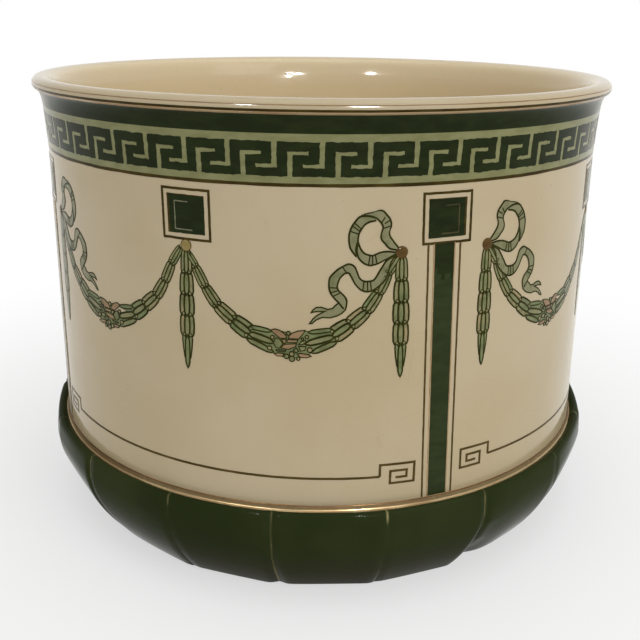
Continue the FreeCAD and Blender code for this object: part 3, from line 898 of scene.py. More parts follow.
@dataclass
class FiredBody:
    """Wall, lip, base, floor and foot of the pot."""

    palette: Palette
    steps: int = 400
    wall_rows: int = 25
    # Radius within which the wall takes the inside's cream, painted paler as painted light.
    lining_radius: float = 127.0
    # Radius at which the lip's glaze starts to change to the inside's cream, painted paler as painted light,
    # and the width of the change.
    lip_fade: Place = (131.0, 4.5)
    wall_inside: Outline = ((123.25, 196.2), (123.0, 193.0), (122.87, 190.0), (122.8, 186.0), (122.85, 176.0),
                            (123.4, 140.0), (124.2, 90.0), (125.0, 45.0))
    lip_roll: Outline = ((130.9, 196.2), (131.05, 197.6), (131.3, 199.2), (131.75, 200.7), (132.35, 202.0),
                         (132.95, 202.85), (133.45, 203.15), (134.1, 203.55), (134.6, 204.3), (134.85, 205.4),
                         (134.6, 206.6), (133.8, 207.6), (132.5, 208.25), (130.9, 208.4), (129.2, 208.2),
                         (127.6, 207.6), (126.2, 206.6), (125.2, 205.2), (124.5, 203.3), (123.95, 201.0),
                         (123.5, 198.6), (123.25, 196.2))
    floor_slab: Outline = ((0.0, 12.0), (40.0, 12.0), (80.0, 12.02), (104.0, 12.1), (110.0, 12.25),
                           (113.0, 12.5), (114.3, 12.6), (114.7, 12.3), (114.7, 6.3), (114.4, 6.0),
                           (60.0, 6.0), (0.0, 6.0))
    foot_rim: Outline = ((95.4, 0.0), (106.0, 0.0), (106.5, 0.2), (106.7, 0.7), (106.7, 6.0), (94.7, 6.0),
                         (94.7, 0.7), (94.9, 0.2))

    def build(self) -> None:
        """Make the five pieces."""
        self.make_wall()
        self.make_lip()
        LobedBase(self.palette).build()
        self.make_floor()
        self.make_foot()

    def make_wall(self) -> None:
        """Tall wall with a slight draft, opening softly inside towards the lip."""
        rises = np.linspace(0, FORM.wall_height, self.wall_rows)
        outline = [*(FORM.place(float(up)) for up in rises), *self.wall_inside]
        wall = paint(turned("pot_wall", outline, self.steps), self.palette.cream)
        # The inside of the wall takes the paler cream: painted light.
        mark(wall, "inside", lambda out, height: float(out < self.lining_radius))
        soften(wall)
        hand_over(wall, "cylinder_wall")

    def make_lip(self) -> None:
        """Hollowed collar under a rolled lip, whose glaze fades to the inside's cream, painted paler as
        painted light.
        """
        lip = paint(turned("rolled_lip", smooth_line(self.lip_roll, 3), self.steps), self.palette.cream)
        mark(lip, "inside", lambda out, height: clamped((self.lip_fade[0] - out) / self.lip_fade[1]))
        soften(lip)
        hand_over(lip, "rim_lip")

    def make_floor(self) -> None:
        """Slab floor, glazed with the inside, its edge drawn up a little by the glaze."""
        floor = turned("pot_floor", self.floor_slab, self.steps // 2, closed=False)
        paint(floor, self.palette.cream)
        # The floor takes the paler cream of the inside: painted light.
        mark(floor, "inside", lambda out, height: 1.0)
        soften(floor)
        hand_over(floor, "floor_disc")

    def make_foot(self) -> None:
        """Ground foot ring with its edges broken."""
        foot = paint(turned("foot_rim", self.foot_rim, self.steps // 2), self.palette.biscuit)
        soften(foot)
        hand_over(foot, "foot_ring")


# Bands

@dataclass(frozen=True)
class WallBand:
    """Band of enamel on the wall, between two heights above the base."""

    name: str
    low: float
    high: float
    rows: int
    shake: float


@dataclass
class PaintedBands:
    """Coats that run right round the pot."""

    palette: Palette
    steps: int = 400
    film: float = 0.12
    rule: WallBand = WallBand("dark_rule", 132.3, 133.6, 3, 0.2)
    ground: WallBand = WallBand("pale_band", 133.5, 151.2, 9, 0.05)
    foot_gold: Outline = ((133.3, 45.02), (132.95, 45.15), (132.65, 45.4), (132.48, 45.8), (132.4, 46.4),
                          (132.36, 47.1), (132.3, 47.4), (132.2, 47.55), (131.95, 47.55), (131.97, 45.02))
    foot_gold_border: float = 47.12
    foot_gold_shake: float = 0.1
    collar: Outline = ((130.9, 196.15), (131.05, 197.6), (131.3, 199.2), (131.75, 200.7), (132.35, 202.0),
                       (132.95, 202.8), (133.3, 203.0))
    # One gilt line under the lip: dark enamel above the border as painted shadow, the gilding below it kept
    # pale as painted highlight.
    lip_line: Outline = ((133.27, 202.89), (133.52, 203.04), (134.19, 203.46), (134.53, 203.9),
                         (134.72, 204.25), (134.89, 204.8), (134.7, 204.87), (134.56, 204.33),
                         (134.06, 203.58), (133.18, 203.05))
    # Height where the painted shadow above meets the painted highlight below.
    lip_shadow_border: float = 203.78
    lip_trace: Outline = ((134.8, 206.1), (134.68, 206.5), (134.55, 206.5), (134.65, 206.1))
    lip_shake: float = 0.06
    # Waves of a wandering edge to a metre, and how many times finer its ripple is.
    grain: float = 55.0
    ripple: float = 5.0

    def build(self) -> None:
        """Make the five bands, from the base upwards."""
        self.make_foot_gold()
        rule = self.make_wall_band(self.rule, self.palette.outline)
        hand_over(rule, "meander_border_line")
        ground = self.make_wall_band(self.ground, self.palette.pale)
        hand_over(ground, "meander_ground_band")
        self.make_collar_band()
        self.make_lip_gold()

    def wander(self, piece: Piece, shake: float) -> None:
        """Let the edges of a band rise and fall a little as it goes round."""
        for vertex in piece.data.vertices:
            where = vertex.co * self.grain
            vertex.co.z += shake * chance(*where) * MM
            vertex.co.z += shake / 2 * chance(*(where * self.ripple)) * MM

    def two_tone(self, name: str, outline: Outline, border: float, below: Material, above: Material) -> Piece:
        """Turned band of two finishes that meet at a height."""
        band = paint(turned(name, outline, self.steps), below, above)
        for face in band.data.polygons:
            face.material_index = int(face.center.z > border * MM)
        return band

    def make_foot_gold(self) -> None:
        """Gilded hollow where the wall meets the base, under a dark line."""
        finishes = self.palette.gold, self.palette.dull_gold
        band = self.two_tone("foot_gold", self.foot_gold, self.foot_gold_border, *finishes)
        self.wander(band, self.foot_gold_shake)
        soften(band, 60)
        hand_over(band, "base_gilt_band")

    def make_wall_band(self, band: WallBand, finish: Material) -> Piece:
        """Film on the wall with unsteady edges."""
        rises = [float(up) for up in np.linspace(band.low, band.high, band.rows)]
        outer = [FORM.place(up, self.film) for up in rises]
        piece = turned(band.name, outer + [FORM.place(up, BOND) for up in reversed(rises)], self.steps)
        self.wander(paint(piece, finish), band.shake)
        soften(piece)
        return piece

    def make_collar_band(self) -> None:
        """Dark green in the hollow of the collar."""
        hollow = smooth_line(self.collar, 3)
        outline = [*(hollow + (self.film, 0)), *(hollow[::-1] + (BOND, 0))]
        band = paint(turned("collar_band", outline, self.steps), self.palette.dark)
        soften(band)
        hand_over(band, "rim_green_band")

    def make_lip_gold(self) -> None:
        """Gilded line under the lip, dark above as painted shadow and pale below as painted highlight, and
        the trace of a worn line on the roll.
        """
        # Pale gilding below as painted highlight, dark enamel above as painted shadow.
        finishes = self.palette.tan_gold, self.palette.outline
        line = self.two_tone("lip_line", self.lip_line, self.lip_shadow_border, *finishes)
        trace = paint(turned("lip_trace", self.lip_trace, self.steps), self.palette.pink)
        band = joined("lip_gold", [line, trace])
        self.wander(band, self.lip_shake)
        soften(band, 60)
        hand_over(band, "lip_gilt_line")


@dataclass
class Meander:
    """Dark keys on the pale band; shares are of the way along one key or up the zone of the keys."""

    palette: Palette
    keys: int = 48
    first_turn: float = -2.0
    low: float = 136.0
    high: float = 148.4
    upright: float = 1.9
    level: float = 1.35
    rise: float = 0.22
    rise_hook: float = 0.61
    rise_top: float = 0.72
    fall: float = 0.885
    fall_hook: float = 0.49
    fall_foot: float = 0.245
    lap: float = 0.45
    cuts: int = 3
    film: float = 0.2
    shake: float = 0.34

    def build(self) -> None:
        """Draw one key and lay it round the pot."""
        pitch = FULL_TURN * FORM.radius(self.high) / self.keys
        zone = self.high - self.low
        half = self.upright / 2
        rise, fall = self.rise * pitch, self.fall * pitch
        rise_end, fall_end = self.rise_hook * pitch, self.fall_hook * pitch
        top, foot = self.low + self.rise_top * zone, self.low + self.fall_foot * zone
        columns = [-self.lap, rise - half, rise + half, fall_end, rise_end, fall - half, fall + half,
                   pitch + self.lap]
        rows = [self.low, foot, foot + self.level, top - self.level, top, self.high]

        def pale(middle: Vector) -> bool:
            """Whether a cell is part of one of the pale lines."""
            x, y = middle.x + pitch / 2, middle.y
            bars = (abs(x - rise) < half and y < top) or (abs(x - fall) < half and y > foot)
            rise_bar = rise < x < rise_end and top - self.level < y < top
            fall_bar = fall_end < x < fall and foot < y < foot + self.level
            return bars or rise_bar or fall_bar

        key = lattice("key", [column - pitch / 2 for column in columns], rows)
        cut_away(key, pale)
        with editing(key):
            bpy.ops.mesh.select_all(action="SELECT")
            bpy.ops.mesh.subdivide(number_cuts=self.cuts)
        paint(key, self.palette.dark)
        places = [Spot(self.first_turn + 360 * turn / self.keys) for turn in range(self.keys)]
        meander = films("key_meander", key, places, self.film, self.shake)
        hand_over(meander, "meander_keys")


# Squares and pilasters

@dataclass
class Squares:
    """Framed dark squares of the eight stations."""

    palette: Palette
    foot: float = 109.9
    width: float = 20.8
    height: float = 19.8
    cells: int = 10
    line: float = 0.95
    tile_inset: float = 2.5
    fringe: Place = (0.85, 0.3)
    plain_lean: float = -7.0
    film: float = 0.13
    frame_shake: float = 0.12
    tile_shake: float = 0.14
    glint_film: float = 0.2
    # Fine lines from the middle of a square: start, end, width and steps.
    glints: tuple[tuple[Place, Place, float, int], ...] = (
        ((-4.6, -5.8), (-4.6, 4.8), 0.42, 6), ((-4.6, 4.8), (1.1, 4.7), 0.4, 5),
        ((-4.6, -5.8), (2.7, -5.9), 0.46, 6),
    )

    @property
    def middle(self) -> float:
        """Height of a square's middle."""
        return self.foot + self.height / 2

    def plain(self) -> list[Spot]:
        """Stations without a pilaster, where each square leans its own way about its middle."""
        shift = (PRINT_LEAN - self.plain_lean) * (self.middle - LEAN_CENTRE) * MM
        return [Spot(turn + shift, Hand.RIGHT, self.plain_lean) for turn in FORM.turns(Station.PLAIN)]

    def on_pilasters(self) -> list[Spot]:
        """Stations with a pilaster, where the squares are mirrored."""
        return spots(Station.PILASTER, Hand.LEFT)

    def everywhere(self) -> list[Spot]:
        """All stations."""
        return self.plain() + self.on_pilasters()

    def build(self) -> None:
        """Make the frames, the fields and their fine inner lines."""
        self.make_frames()
        self.make_fields()
        self.make_glints()

    def lines(self, start: float, end: float, edge: float) -> list[float]:
        """Places of lines between two ends, with a narrow row at each end."""
        inner = np.linspace(start + edge, end - edge, self.cells + 1)
        return [start, *(float(at) for at in inner), end]

    def sheet(self, name: str, inset: float, across_edge: float, up_edge: float) -> Piece:
        """Sheet of a square's size, less an inset, with narrow cells along its edges."""
        half = self.width / 2 - inset
        low, high = self.foot + inset, self.foot + self.height - inset
        return lattice(name, self.lines(-half, half, across_edge), self.lines(low, high, up_edge))

    def make_frames(self) -> None:
        """Thin line round each square."""
        border = self.sheet("frame_line", 0.0, self.line, self.line)
        half, rise = self.width / 2 - self.line, self.height / 2 - self.line
        cut_away(border, lambda at: abs(at.x) < half and abs(at.y - self.middle) < rise)
        paint(border, self.palette.outline)
        borders = films("square_borders", border, self.everywhere(), self.film, self.frame_shake)
        hand_over(borders, "square_frames")

    def make_fields(self) -> None:
        """Dark field in each square, worn brown along two sides."""
        tile = self.sheet("tile", self.tile_inset, *self.fringe)
        left = self.fringe[0] + self.tile_inset - self.width / 2
        top = self.foot + self.height - self.tile_inset - self.fringe[1]
        for face in tile.data.polygons:
            face.material_index = int(face.center.x < left or face.center.y > top)
        paint(tile, self.palette.dark, self.palette.outline)
        fields = films("square_fields", tile, self.everywhere(), self.film, self.tile_shake)
        hand_over(fields, "square_tiles")

    def make_glints(self) -> None:
        """Fine lines in each field, brighter where there is no pilaster."""
        sets = []
        for finish, places in ((self.palette.glint, self.plain()), (self.palette.dim, self.on_pilasters())):
            strokes = [stroke("glint", ends, width, steps) for *ends, width, steps in self.glints]
            drawing = paint(moved(joined("glint_lines", strokes), 0.0, self.middle), finish)
            sets.append(films("glints", drawing, places, self.glint_film))
        hand_over(joined("square_glints", sets), "square_bevel_lines")


@dataclass
class Pilasters:
    """Dark stripes with gilt edges between thin lines, under every second square."""

    palette: Palette
    low: float = 2.8
    high: float = 110.2
    stripe: float = 9.2
    edge: float = 0.45
    spacing: float = 13.5
    line: float = 0.75
    shift: float = -1.05
    dark_top: float = 13.0
    ragged: float = 5.0
    columns: int = 12
    rows: int = 46
    film: float = 0.13
    gold_film: float = 0.19
    shake: float = 0.1

    def build(self) -> None:
        """Make the stripes, their gilt edges and the outer lines."""
        places = spots(Station.PILASTER, Hand.RIGHT)
        stripes = films("pilaster_fields", self.field(), places, self.film, self.shake)
        hand_over(stripes, "pilaster_stripes")
        gold = self.pair((self.stripe - self.edge) / 2, self.edge, self.palette.tan_gold)
        edges = films("pilaster_gold", gold, places, self.gold_film, self.shake)
        hand_over(edges, "pilaster_gilt_edges")
        lines = self.pair(self.spacing / 2, self.line, self.palette.fret)
        rules = films("pilaster_rules", lines, places, self.film, self.shake)
        hand_over(rules, "pilaster_outlines")

    def field(self) -> Piece:
        """One stripe, darker down to a ragged edge near its top."""
        half = self.stripe / 2
        rows = [float(up) for up in np.linspace(self.low, self.high, self.rows)]
        columns = [float(across) for across in np.linspace(-half, half, self.columns)]
        stripe = paint(lattice("stripe", columns, rows), self.palette.stripe, self.palette.dark)
        for face in stripe.data.polygons:
            border = self.high - self.dark_top + self.ragged * chance(face.center.x * 0.4, 3.3, 0.0)
            face.material_index = int(face.center.y > border)
        return moved(stripe, self.shift)

    def pair(self, apart: float, width: float, finish: Material) -> Piece:
        """Two upright lines, one each side of the stripe's middle."""
        ends = [[(side * apart, self.low), (side * apart, self.high)] for side in (-1, 1)]
        rules = joined("rules", [stroke("rule", end, width, self.rows) for end in ends])
        return moved(paint(rules, finish), self.shift)


# Festoons

# Edges of the bow's ribbon from its knot, away from the pilaster: near edge, then far edge.
BOW_ARM = (
    (1.0, 0.2, 0.6, 1.4), (2.7, 0.7, 1.7, 2.7), (4.9, 1.3, 3.1, 4.5), (6.7, 3.1, 4.2, 6.1),
    (8.0, 4.7, 4.6, 7.3), (8.4, 6.3, 4.5, 8.4), (7.9, 8.3, 4.0, 9.7), (7.6, 9.4, 3.9, 11.2),
    (8.0, 10.7, 4.5, 13.0), (8.8, 11.7, 5.8, 14.6), (9.6, 12.5, 7.1, 16.0), (11.1, 13.3, 8.7, 16.2),
    (12.7, 13.8, 11.1, 15.5), (14.4, 14.0, 13.5, 15.1), (15.7, 14.1, 15.5, 14.3),
)
BOW_SIDE = (
    (9.7, 11.9, 10.4, 13.5), (12.2, 11.4, 13.2, 14.3), (13.8, 10.5, 16.0, 14.0), (14.9, 9.1, 17.8, 12.3),
    (15.8, 7.6, 19.2, 10.2), (16.2, 5.9, 20.1, 7.6), (16.3, 4.5, 20.3, 5.3), (16.8, 3.2, 19.9, 2.4),
    (17.2, 1.5, 18.8, 0.3), (17.0, -0.7, 17.3, -1.6),
)
BOW_RETURN = (
    (16.2, 4.5, 16.4, 4.4), (15.8, 3.1, 17.2, 2.6), (15.1, 1.6, 17.3, 0.5), (14.0, 0.3, 16.7, -1.8),
    (12.5, -0.3, 14.9, -3.8), (11.1, -0.5, 12.6, -4.9), (9.7, 0.0, 10.4, -4.7), (7.5, 0.7, 8.1, -3.8),
    (4.9, 0.8, 5.2, -2.3), (2.5, 0.4, 2.3, -0.9), (0.8, 0.1, 0.8, -0.4),
)
BOW_TAIL = (
    (1.2, -0.4, 0.8, -0.8), (3.8, -1.4, 3.0, -2.6), (6.0, -2.6, 4.4, -5.0), (7.7, -5.0, 4.9, -7.7),
    (9.3, -7.6, 6.3, -10.8), (10.7, -9.8, 8.7, -13.2), (12.2, -10.3, 11.9, -14.9), (14.4, -10.2, 15.0, -14.6),
    (15.9, -9.0, 17.6, -12.3), (16.7, -6.8, 19.2, -9.4), (17.8, -4.5, 20.1, -7.9), (20.0, -3.5, 20.7, -7.6),
    (22.5, -4.6, 21.6, -8.0), (24.2, -5.6, 22.7, -9.0), (26.1, -7.3, 23.5, -10.3), (27.5, -9.3, 24.0, -11.9),
    (27.8, -12.6, 24.0, -13.1), (27.1, -15.4, 23.3, -14.3), (25.7, -17.3, 21.6, -15.9),
    (23.9, -19.4, 20.5, -18.0), (22.4, -21.4, 20.9, -20.9),
)
# Forked end of the ribbon, and the ends of its pleats.
BOW_END = (
    (25.3, -19.6), (26.4, -20.8), (28.0, -21.1), (30.3, -20.3), (32.3, -20.4), (33.8, -21.5), (34.7, -23.1),
    (32.6, -22.6), (30.3, -22.5), (32.3, -23.6), (33.8, -25.0), (35.5, -27.4), (33.9, -27.3), (32.3, -25.9),
    (30.0, -24.8), (27.1, -25.0), (24.4, -24.2), (22.6, -23.2), (21.0, -21.6), (21.2, -19.8), (23.4, -18.2),
)
BOW_PLEATS = (
    ((6.6, 13.4), (7.8, 11.5)), ((4.9, 12.1), (6.7, 11.0)), ((4.2, 10.1), (7.4, 9.2)),
    ((18.0, 11.6), (15.5, 9.3)), ((18.5, 10.3), (15.8, 8.4)), ((19.4, 8.4), (16.2, 7.3)),
    ((12.1, -0.8), (12.8, -4.7)), ((11.2, -0.6), (11.2, -4.7)), ((10.2, -0.5), (9.5, -4.2)),
    ((14.3, -10.2), (14.9, -14.4)), ((13.1, -10.5), (13.0, -14.6)), ((12.0, -10.5), (11.6, -14.5)),
    ((27.7, -12.8), (24.0, -13.1)), ((27.2, -15.0), (23.7, -13.9)), ((26.4, -16.5), (23.3, -14.9)),
    ((22.5, -4.7), (20.6, -7.7)),
)
# Parts of the bow from the lowest: edges, tint and lift.
BOW_RUNS = ((BOW_SIDE, 0.25, 0.0), (BOW_TAIL, 0.3, 0.02), (BOW_RETURN, 0.4, 0.03), (BOW_ARM, 0.5, 0.04))

# Joints of the leaves along half a swag, from the knot inwards, with the swag's width there.
SWAG_JOINTS = ((0.7, -0.9, 2.8), (5.0, -7.5, 3.9), (8.6, -15.0, 4.4), (13.2, -21.9, 5.1), (19.3, -27.2, 6.2),
               (25.6, -31.6, 7.3))
# Middle of a swag, from its middle: the wash under it, its long leaves, and outlines and spots by colour.
SWAG_WASH = (
    (-15.8, 78.6), (-7.6, 77.6), (-5.0, 78.0), (0.0, 76.6), (5.2, 78.0), (7.6, 77.6), (15.8, 78.6),
    (17.0, 74.0), (8.2, 69.6), (6.0, 67.4), (2.4, 66.6), (-2.4, 66.6), (-6.0, 67.6), (-8.2, 69.6),
    (-17.0, 74.0),
)
SWAG_LEAVES = (
    ((-16.3, 78.5), (-7.2, 77.1), 2.3), ((-17.6, 73.6), (-6.6, 68.5), 2.9),
    ((-17.0, 75.9), (-6.4, 72.5), 3.3), ((16.3, 78.5), (6.2, 77.2), 2.3), ((17.6, 73.6), (7.4, 68.9), 2.9),
    ((17.0, 75.9), (4.9, 72.4), 3.3),
)
TIE_PINK = (
    ((-8.1, 77.7), (-6.2, 78.4), (-4.5, 78.1), (-2.8, 77.0), (-1.7, 75.7), (-1.6, 74.5), (-4.1, 74.4),
     (-6.0, 75.8)),
    ((-1.3, 74.4), (-0.9, 75.8), (0.4, 77.0), (2.6, 77.9), (5.7, 78.3), (5.0, 77.0), (4.0, 75.6),
     (3.0, 74.4)),
    ((-1.7, 74.3), (2.8, 74.3), (2.3, 72.9), (-1.8, 72.9)),
    ((-4.0, 74.3), (-1.8, 74.3), (-1.9, 72.9), (-2.8, 72.2)),
    ((-2.5, 72.4), (2.3, 72.8), (1.6, 71.2), (-1.1, 70.0), (-4.3, 70.5), (-3.5, 71.6)),
    ((-7.1, 68.2), (-4.9, 68.8), (-2.6, 68.5), (-3.3, 67.1), (-5.7, 67.1)),
    ((1.8, 68.5), (3.6, 68.9), (6.4, 68.5), (7.9, 67.5), (5.7, 66.8), (3.3, 66.9)),
)
TIE_GREEN = (
    ((-5.7, 74.9), (-4.2, 74.2), (-3.0, 72.3), (-4.5, 70.2), (-6.2, 70.7), (-7.0, 72.6), (-6.4, 74.0)),
    ((-6.4, 69.9), (-1.8, 70.0), (-2.5, 68.9), (-5.7, 69.1)),
    ((2.4, 72.1), (3.6, 73.6), (5.5, 74.3), (5.8, 73.3), (4.3, 72.1)),
    ((2.6, 71.7), (5.8, 71.7), (5.3, 69.9), (3.3, 69.4)),
    ((0.4, 69.9), (1.9, 71.2), (3.0, 69.5), (1.6, 68.7)),
)
TIE_SPOTS = (
    (-1.0, 76.7, 1.0), (-7.2, 74.8, 0.95), (-8.4, 70.4, 1.1), (6.0, 75.4, 0.9), (4.3, 74.6, 0.7),
    (7.0, 70.2, 1.2), (2.5, 66.5, 0.9), (-2.0, 67.3, 1.15), (0.1, 68.4, 1.15), (0.1, 66.4, 1.3),
)

# Heights of a leaf drop's tiers below its knot, with the drop's width there.
DROP_TIERS = ((-1.6, 3.8), (-10.4, 5.3), (-18.9, 6.3), (-27.4, 6.4), (-35.9, 6.0))
# Last three leaves of a drop, from its knot: start, end, width and lift.
DROP_POINT = (((-1.75, -35.2), (-0.35, -47.6), 2.3, 0.0), ((1.75, -35.2), (0.35, -47.6), 2.3, 0.0),
              ((0.0, -35.6), (0.0, -50.4), 2.7, 0.03))


@dataclass
class Leafage:
    """Leaves, berries and washes that swags and drops are put together from.

    A size in two parts is a share of the row's width, and what is added to it.
    """

    palette: Palette
    half_leaf: Outline = ((0.0, 0.04), (0.07, 0.26), (0.2, 0.45), (0.5, 0.5), (0.8, 0.45), (0.93, 0.26),
                          (1.0, 0.04))
    line: float = 0.25
    root: float = 0.5
    overlap: float = 1.2
    side_start: float = 0.30
    side_end: float = 0.34
    side_width: Place = (0.42, 0.25)
    middle_width: Place = (0.46, 0.3)
    middle_lift: float = 0.03
    berry_side: float = 0.24
    berry_size: Place = (0.055, 0.45)
    berry_line: float = 0.34
    berry_tint: float = 0.6
    berry_lift: float = 0.06
    wash_share: float = 0.66
    wash_lift: float = -0.02

    def __post_init__(self) -> None:
        """Draw the leaf that all leaves are copied from, of unit length and width, along +x."""
        edges = np.array([(along, half, along, -half) for along, half in self.half_leaf])
        self.pattern = paint(strip("leaf", edges, self.line), self.palette.leaf, self.palette.leaf_line)

    def clear(self) -> None:
        """Throw the pattern away."""
        bpy.data.objects.remove(self.pattern)

    def leaf(self, start: Place, end: Place, width: float, tint: float, lift: float) -> Piece:
        """Copy of the leaf that reaches from one place to another."""
        run = Vector(end) - Vector(start)
        turn = Matrix.Rotation(math.atan2(run.y, run.x), 4, "Z")
        size = Matrix.Diagonal((run.length, width, 1, 1))
        copy = copied(self.pattern)
        copy.data.transform(Matrix.Translation((*start, 0)) @ turn @ size)
        return tinted(copy, tint, lift)

    def berry(self, place: Place, width: float) -> Piece:
        """Round berry for a row of a given width."""
        radius = self.berry_size[1] + self.berry_size[0] * width
        spot = disc("berry", place, radius, self.berry_line, sides=10)
        paint(spot, self.palette.leaf, self.palette.leaf_line)
        return tinted(spot, self.berry_tint, self.berry_lift)

    def tier(self, start: Vector, end: Vector, widths: Place, seed: float) -> list[Piece]:
        """Three leaves side by side between two joints, with a berry at each side of the far joint.

        Args:
            start: Joint that the leaves grow from.
            end: Joint that they reach.
            widths: Width over all at the two joints.
            seed: Number that the tints follow.

        Returns:
            The leaves and berries.
        """
        run = (end - start).normalized()
        side = Vector((-run.y, run.x))
        reach = end + run * self.overlap
        mean = (widths[0] + widths[1]) / 2
        parts = []
        for hand in (-1, 1):
            tint = clamped(0.45 + 0.9 * chance(seed * 3.1, hand * 5.7, 0.4))
            near = start + side * hand * widths[0] * self.side_start - run * self.root
            far = reach + side * hand * widths[1] * self.side_end
            width = self.side_width[0] * mean + self.side_width[1]
            parts.append(self.leaf(tuple(near), tuple(far), width, tint, 0.0))
        tint = clamped(0.25 + 0.4 * chance(seed * 2.3, 9.1, 2.2))
        width = self.middle_width[0] * mean + self.middle_width[1]
        parts.append(self.leaf(tuple(start), tuple(reach), width, tint, self.middle_lift))
        for hand in (-1, 1):
            parts.append(self.berry(tuple(end + side * hand * widths[1] * self.berry_side), widths[1]))
        return parts

    def wash(self, joints: Sequence[Sequence[float]]) -> Piece:
        """Dark wash under a row of leaves, by the place and the width of each joint."""
        line = smooth_line(joints, 3)
        run = np.gradient(line[:, :2], axis=0)
        run /= np.linalg.norm(run, axis=1)[:, None]
        side = np.stack([-run[:, 1], run[:, 0]], -1) * line[:, 2:] * self.wash_share / 2
        wash = strip("wash", np.hstack([line[:, :2] + side, line[:, :2] - side]), 0.0)
        return tinted(paint(wash, self.palette.leaf_line, self.palette.leaf_line), 0.0, self.wash_lift)


@dataclass
class Festoons:
    """Bows, swags, leaf drops and the knots that they hang from."""

    palette: Palette
    knot_up: float = 107.9
    knot_radius: float = 2.35
    knot_line: float = 0.3
    # Steps of a knot's rise to its middle: height, and size against the step before.
    knot_steps: Outline = ((0.10, 0.88), (0.08, 0.8), (0.05, 0.62))
    bow_offset: float = 18.3
    ribbon_line: float = 0.74
    end_line: float = 0.56
    pleat_line: float = 0.48
    wash_line: float = 0.3
    tie_line: float = 0.4
    fruit_line: float = 0.46
    film: float = 0.13
    swag_film: float = 0.12
    tie_film: float = 0.2
    knot_film: float = 0.22

    def build(self) -> None:
        """Make the bows, swags, their ties, the drops and the knots."""
        self.make_bows()
        self.make_swags()
        self.make_ties()
        self.make_drops()
        self.make_knots()

    def beside_pilasters(self) -> list[Spot]:
        """Every pilaster twice, for a motif on each side of it."""
        return spots(Station.PILASTER, *Hand)

    def under_squares(self) -> list[Spot]:
        """Every square without a pilaster."""
        return spots(Station.PLAIN, Hand.RIGHT)

    def half_span(self) -> float:
        """Half the way along the wall between the knots that a swag hangs from."""
        apart = FULL_TURN / FORM.stations * FORM.radius(self.knot_up)
        return (apart - self.bow_offset) / 2

    def to_middle(self, drawing: Piece) -> Piece:
        """Mirror a drawing made about the middle of a swag and move it there."""
        drawing.data.transform(Matrix.Scale(-1, 4, (1, 0, 0)))
        return moved(drawing, self.bow_offset + self.half_span())

    def make_bows(self) -> None:
        """One bow with its loop, its tail and the pleats, beside every pilaster."""
        fill, line = self.palette.ribbon, self.palette.leaf_line
        parts = [tinted(paint(patch("end", BOW_END, self.end_line), fill, line), tint=0.35)]
        for run, tint, lift in BOW_RUNS:
            ribbon = strip("ribbon", smooth_line(run, spans=4), self.ribbon_line)
            parts.append(tinted(paint(ribbon, fill, line), tint, lift))
        for ends in BOW_PLEATS:
            pleat = stroke("pleat", ends, self.pleat_line, spans=3)
            parts.append(tinted(paint(pleat, line), tint=0.0, lift=0.07))
        bow = moved(joined("bow", parts), self.bow_offset, self.knot_up)
        bows = films("ribbon_bows", bow, self.beside_pilasters(), self.film)
        hand_over(bows, "bow_ribbons")

    def make_swags(self) -> None:
        """Leafy swag from the bow's knot to the plain knot, beside every pilaster."""
        leafage = Leafage(self.palette)
        parts = []
        for hand in (-1, 1):
            joints = [(hand * (self.half_span() - x), self.knot_up + z, width) for x, z, width in SWAG_JOINTS]
            parts.append(leafage.wash(joints))
            for number, (start, end) in enumerate(zip(joints, joints[1:])):
                places = Vector(start[:2]), Vector(end[:2])
                parts += leafage.tier(*places, (start[2], end[2]), number + 20 * hand)
        wash = paint(patch("wash", SWAG_WASH, self.wash_line), self.palette.leaf, self.palette.leaf_line)
        parts.append(tinted(wash, tint=0.1, lift=-0.015))
        for number, (start, end, width) in enumerate(SWAG_LEAVES):
            parts.append(leafage.leaf(start, end, width, tint=0.2 * (number % 3), lift=0.02))
        leafage.clear()
        swag = self.to_middle(joined("swag", parts))
        swags = films("leaf_swags", swag, self.beside_pilasters(), self.swag_film)
        hand_over(swags, "swag_garlands")

    def make_ties(self) -> None:
        """Pink leaves, bands and fruit that tie a swag at its middle."""
        parts = []
        layers = (self.palette.leaf, TIE_GREEN, 0.0), (self.palette.pink, TIE_PINK, 0.02)
        for fill, outlines, lift in layers:
            for outline in outlines:
                leaf = paint(patch("tie_leaf", outline, self.tie_line), fill, self.palette.leaf_line)
                parts.append(tinted(leaf, tint=0.3, lift=lift))
        for across, up, radius in TIE_SPOTS:
            spot = disc("fruit", (across, up), radius, self.fruit_line, sides=12)
            paint(spot, self.palette.leaf, self.palette.leaf_line)
            parts.append(tinted(spot, tint=0.75, lift=0.05))
        tie = self.to_middle(joined("tie", parts))
        ties = films("swag_ties", tie, self.beside_pilasters(), self.tie_film)
        hand_over(ties, "swag_wraps")

    def make_drops(self) -> None:
        """Leaf drops under every knot."""
        leafage = Leafage(self.palette)
        parts = []
        for number, (start, end) in enumerate(zip(DROP_TIERS, DROP_TIERS[1:])):
            places = Vector((0, start[0])), Vector((0, end[0]))
            parts += leafage.tier(*places, (start[1], end[1]), number + 60)
        parts.append(leafage.wash([(0.0, up, width) for up, width in DROP_TIERS]))
        for start, end, width, lift in DROP_POINT:
            parts.append(leafage.leaf(start, end, width, tint=0.1, lift=lift))
        leafage.clear()
        drop = moved(joined("drop", parts), 0.0, self.knot_up)
        beside = moved(copied(drop), self.bow_offset)
        plain = films("plain_drops", drop, self.under_squares(), self.film)
        bowed = films("bow_drops", beside, self.beside_pilasters(), self.film)
        hand_over(joined("leaf_pendants", [plain, bowed]), "leaf_drops")

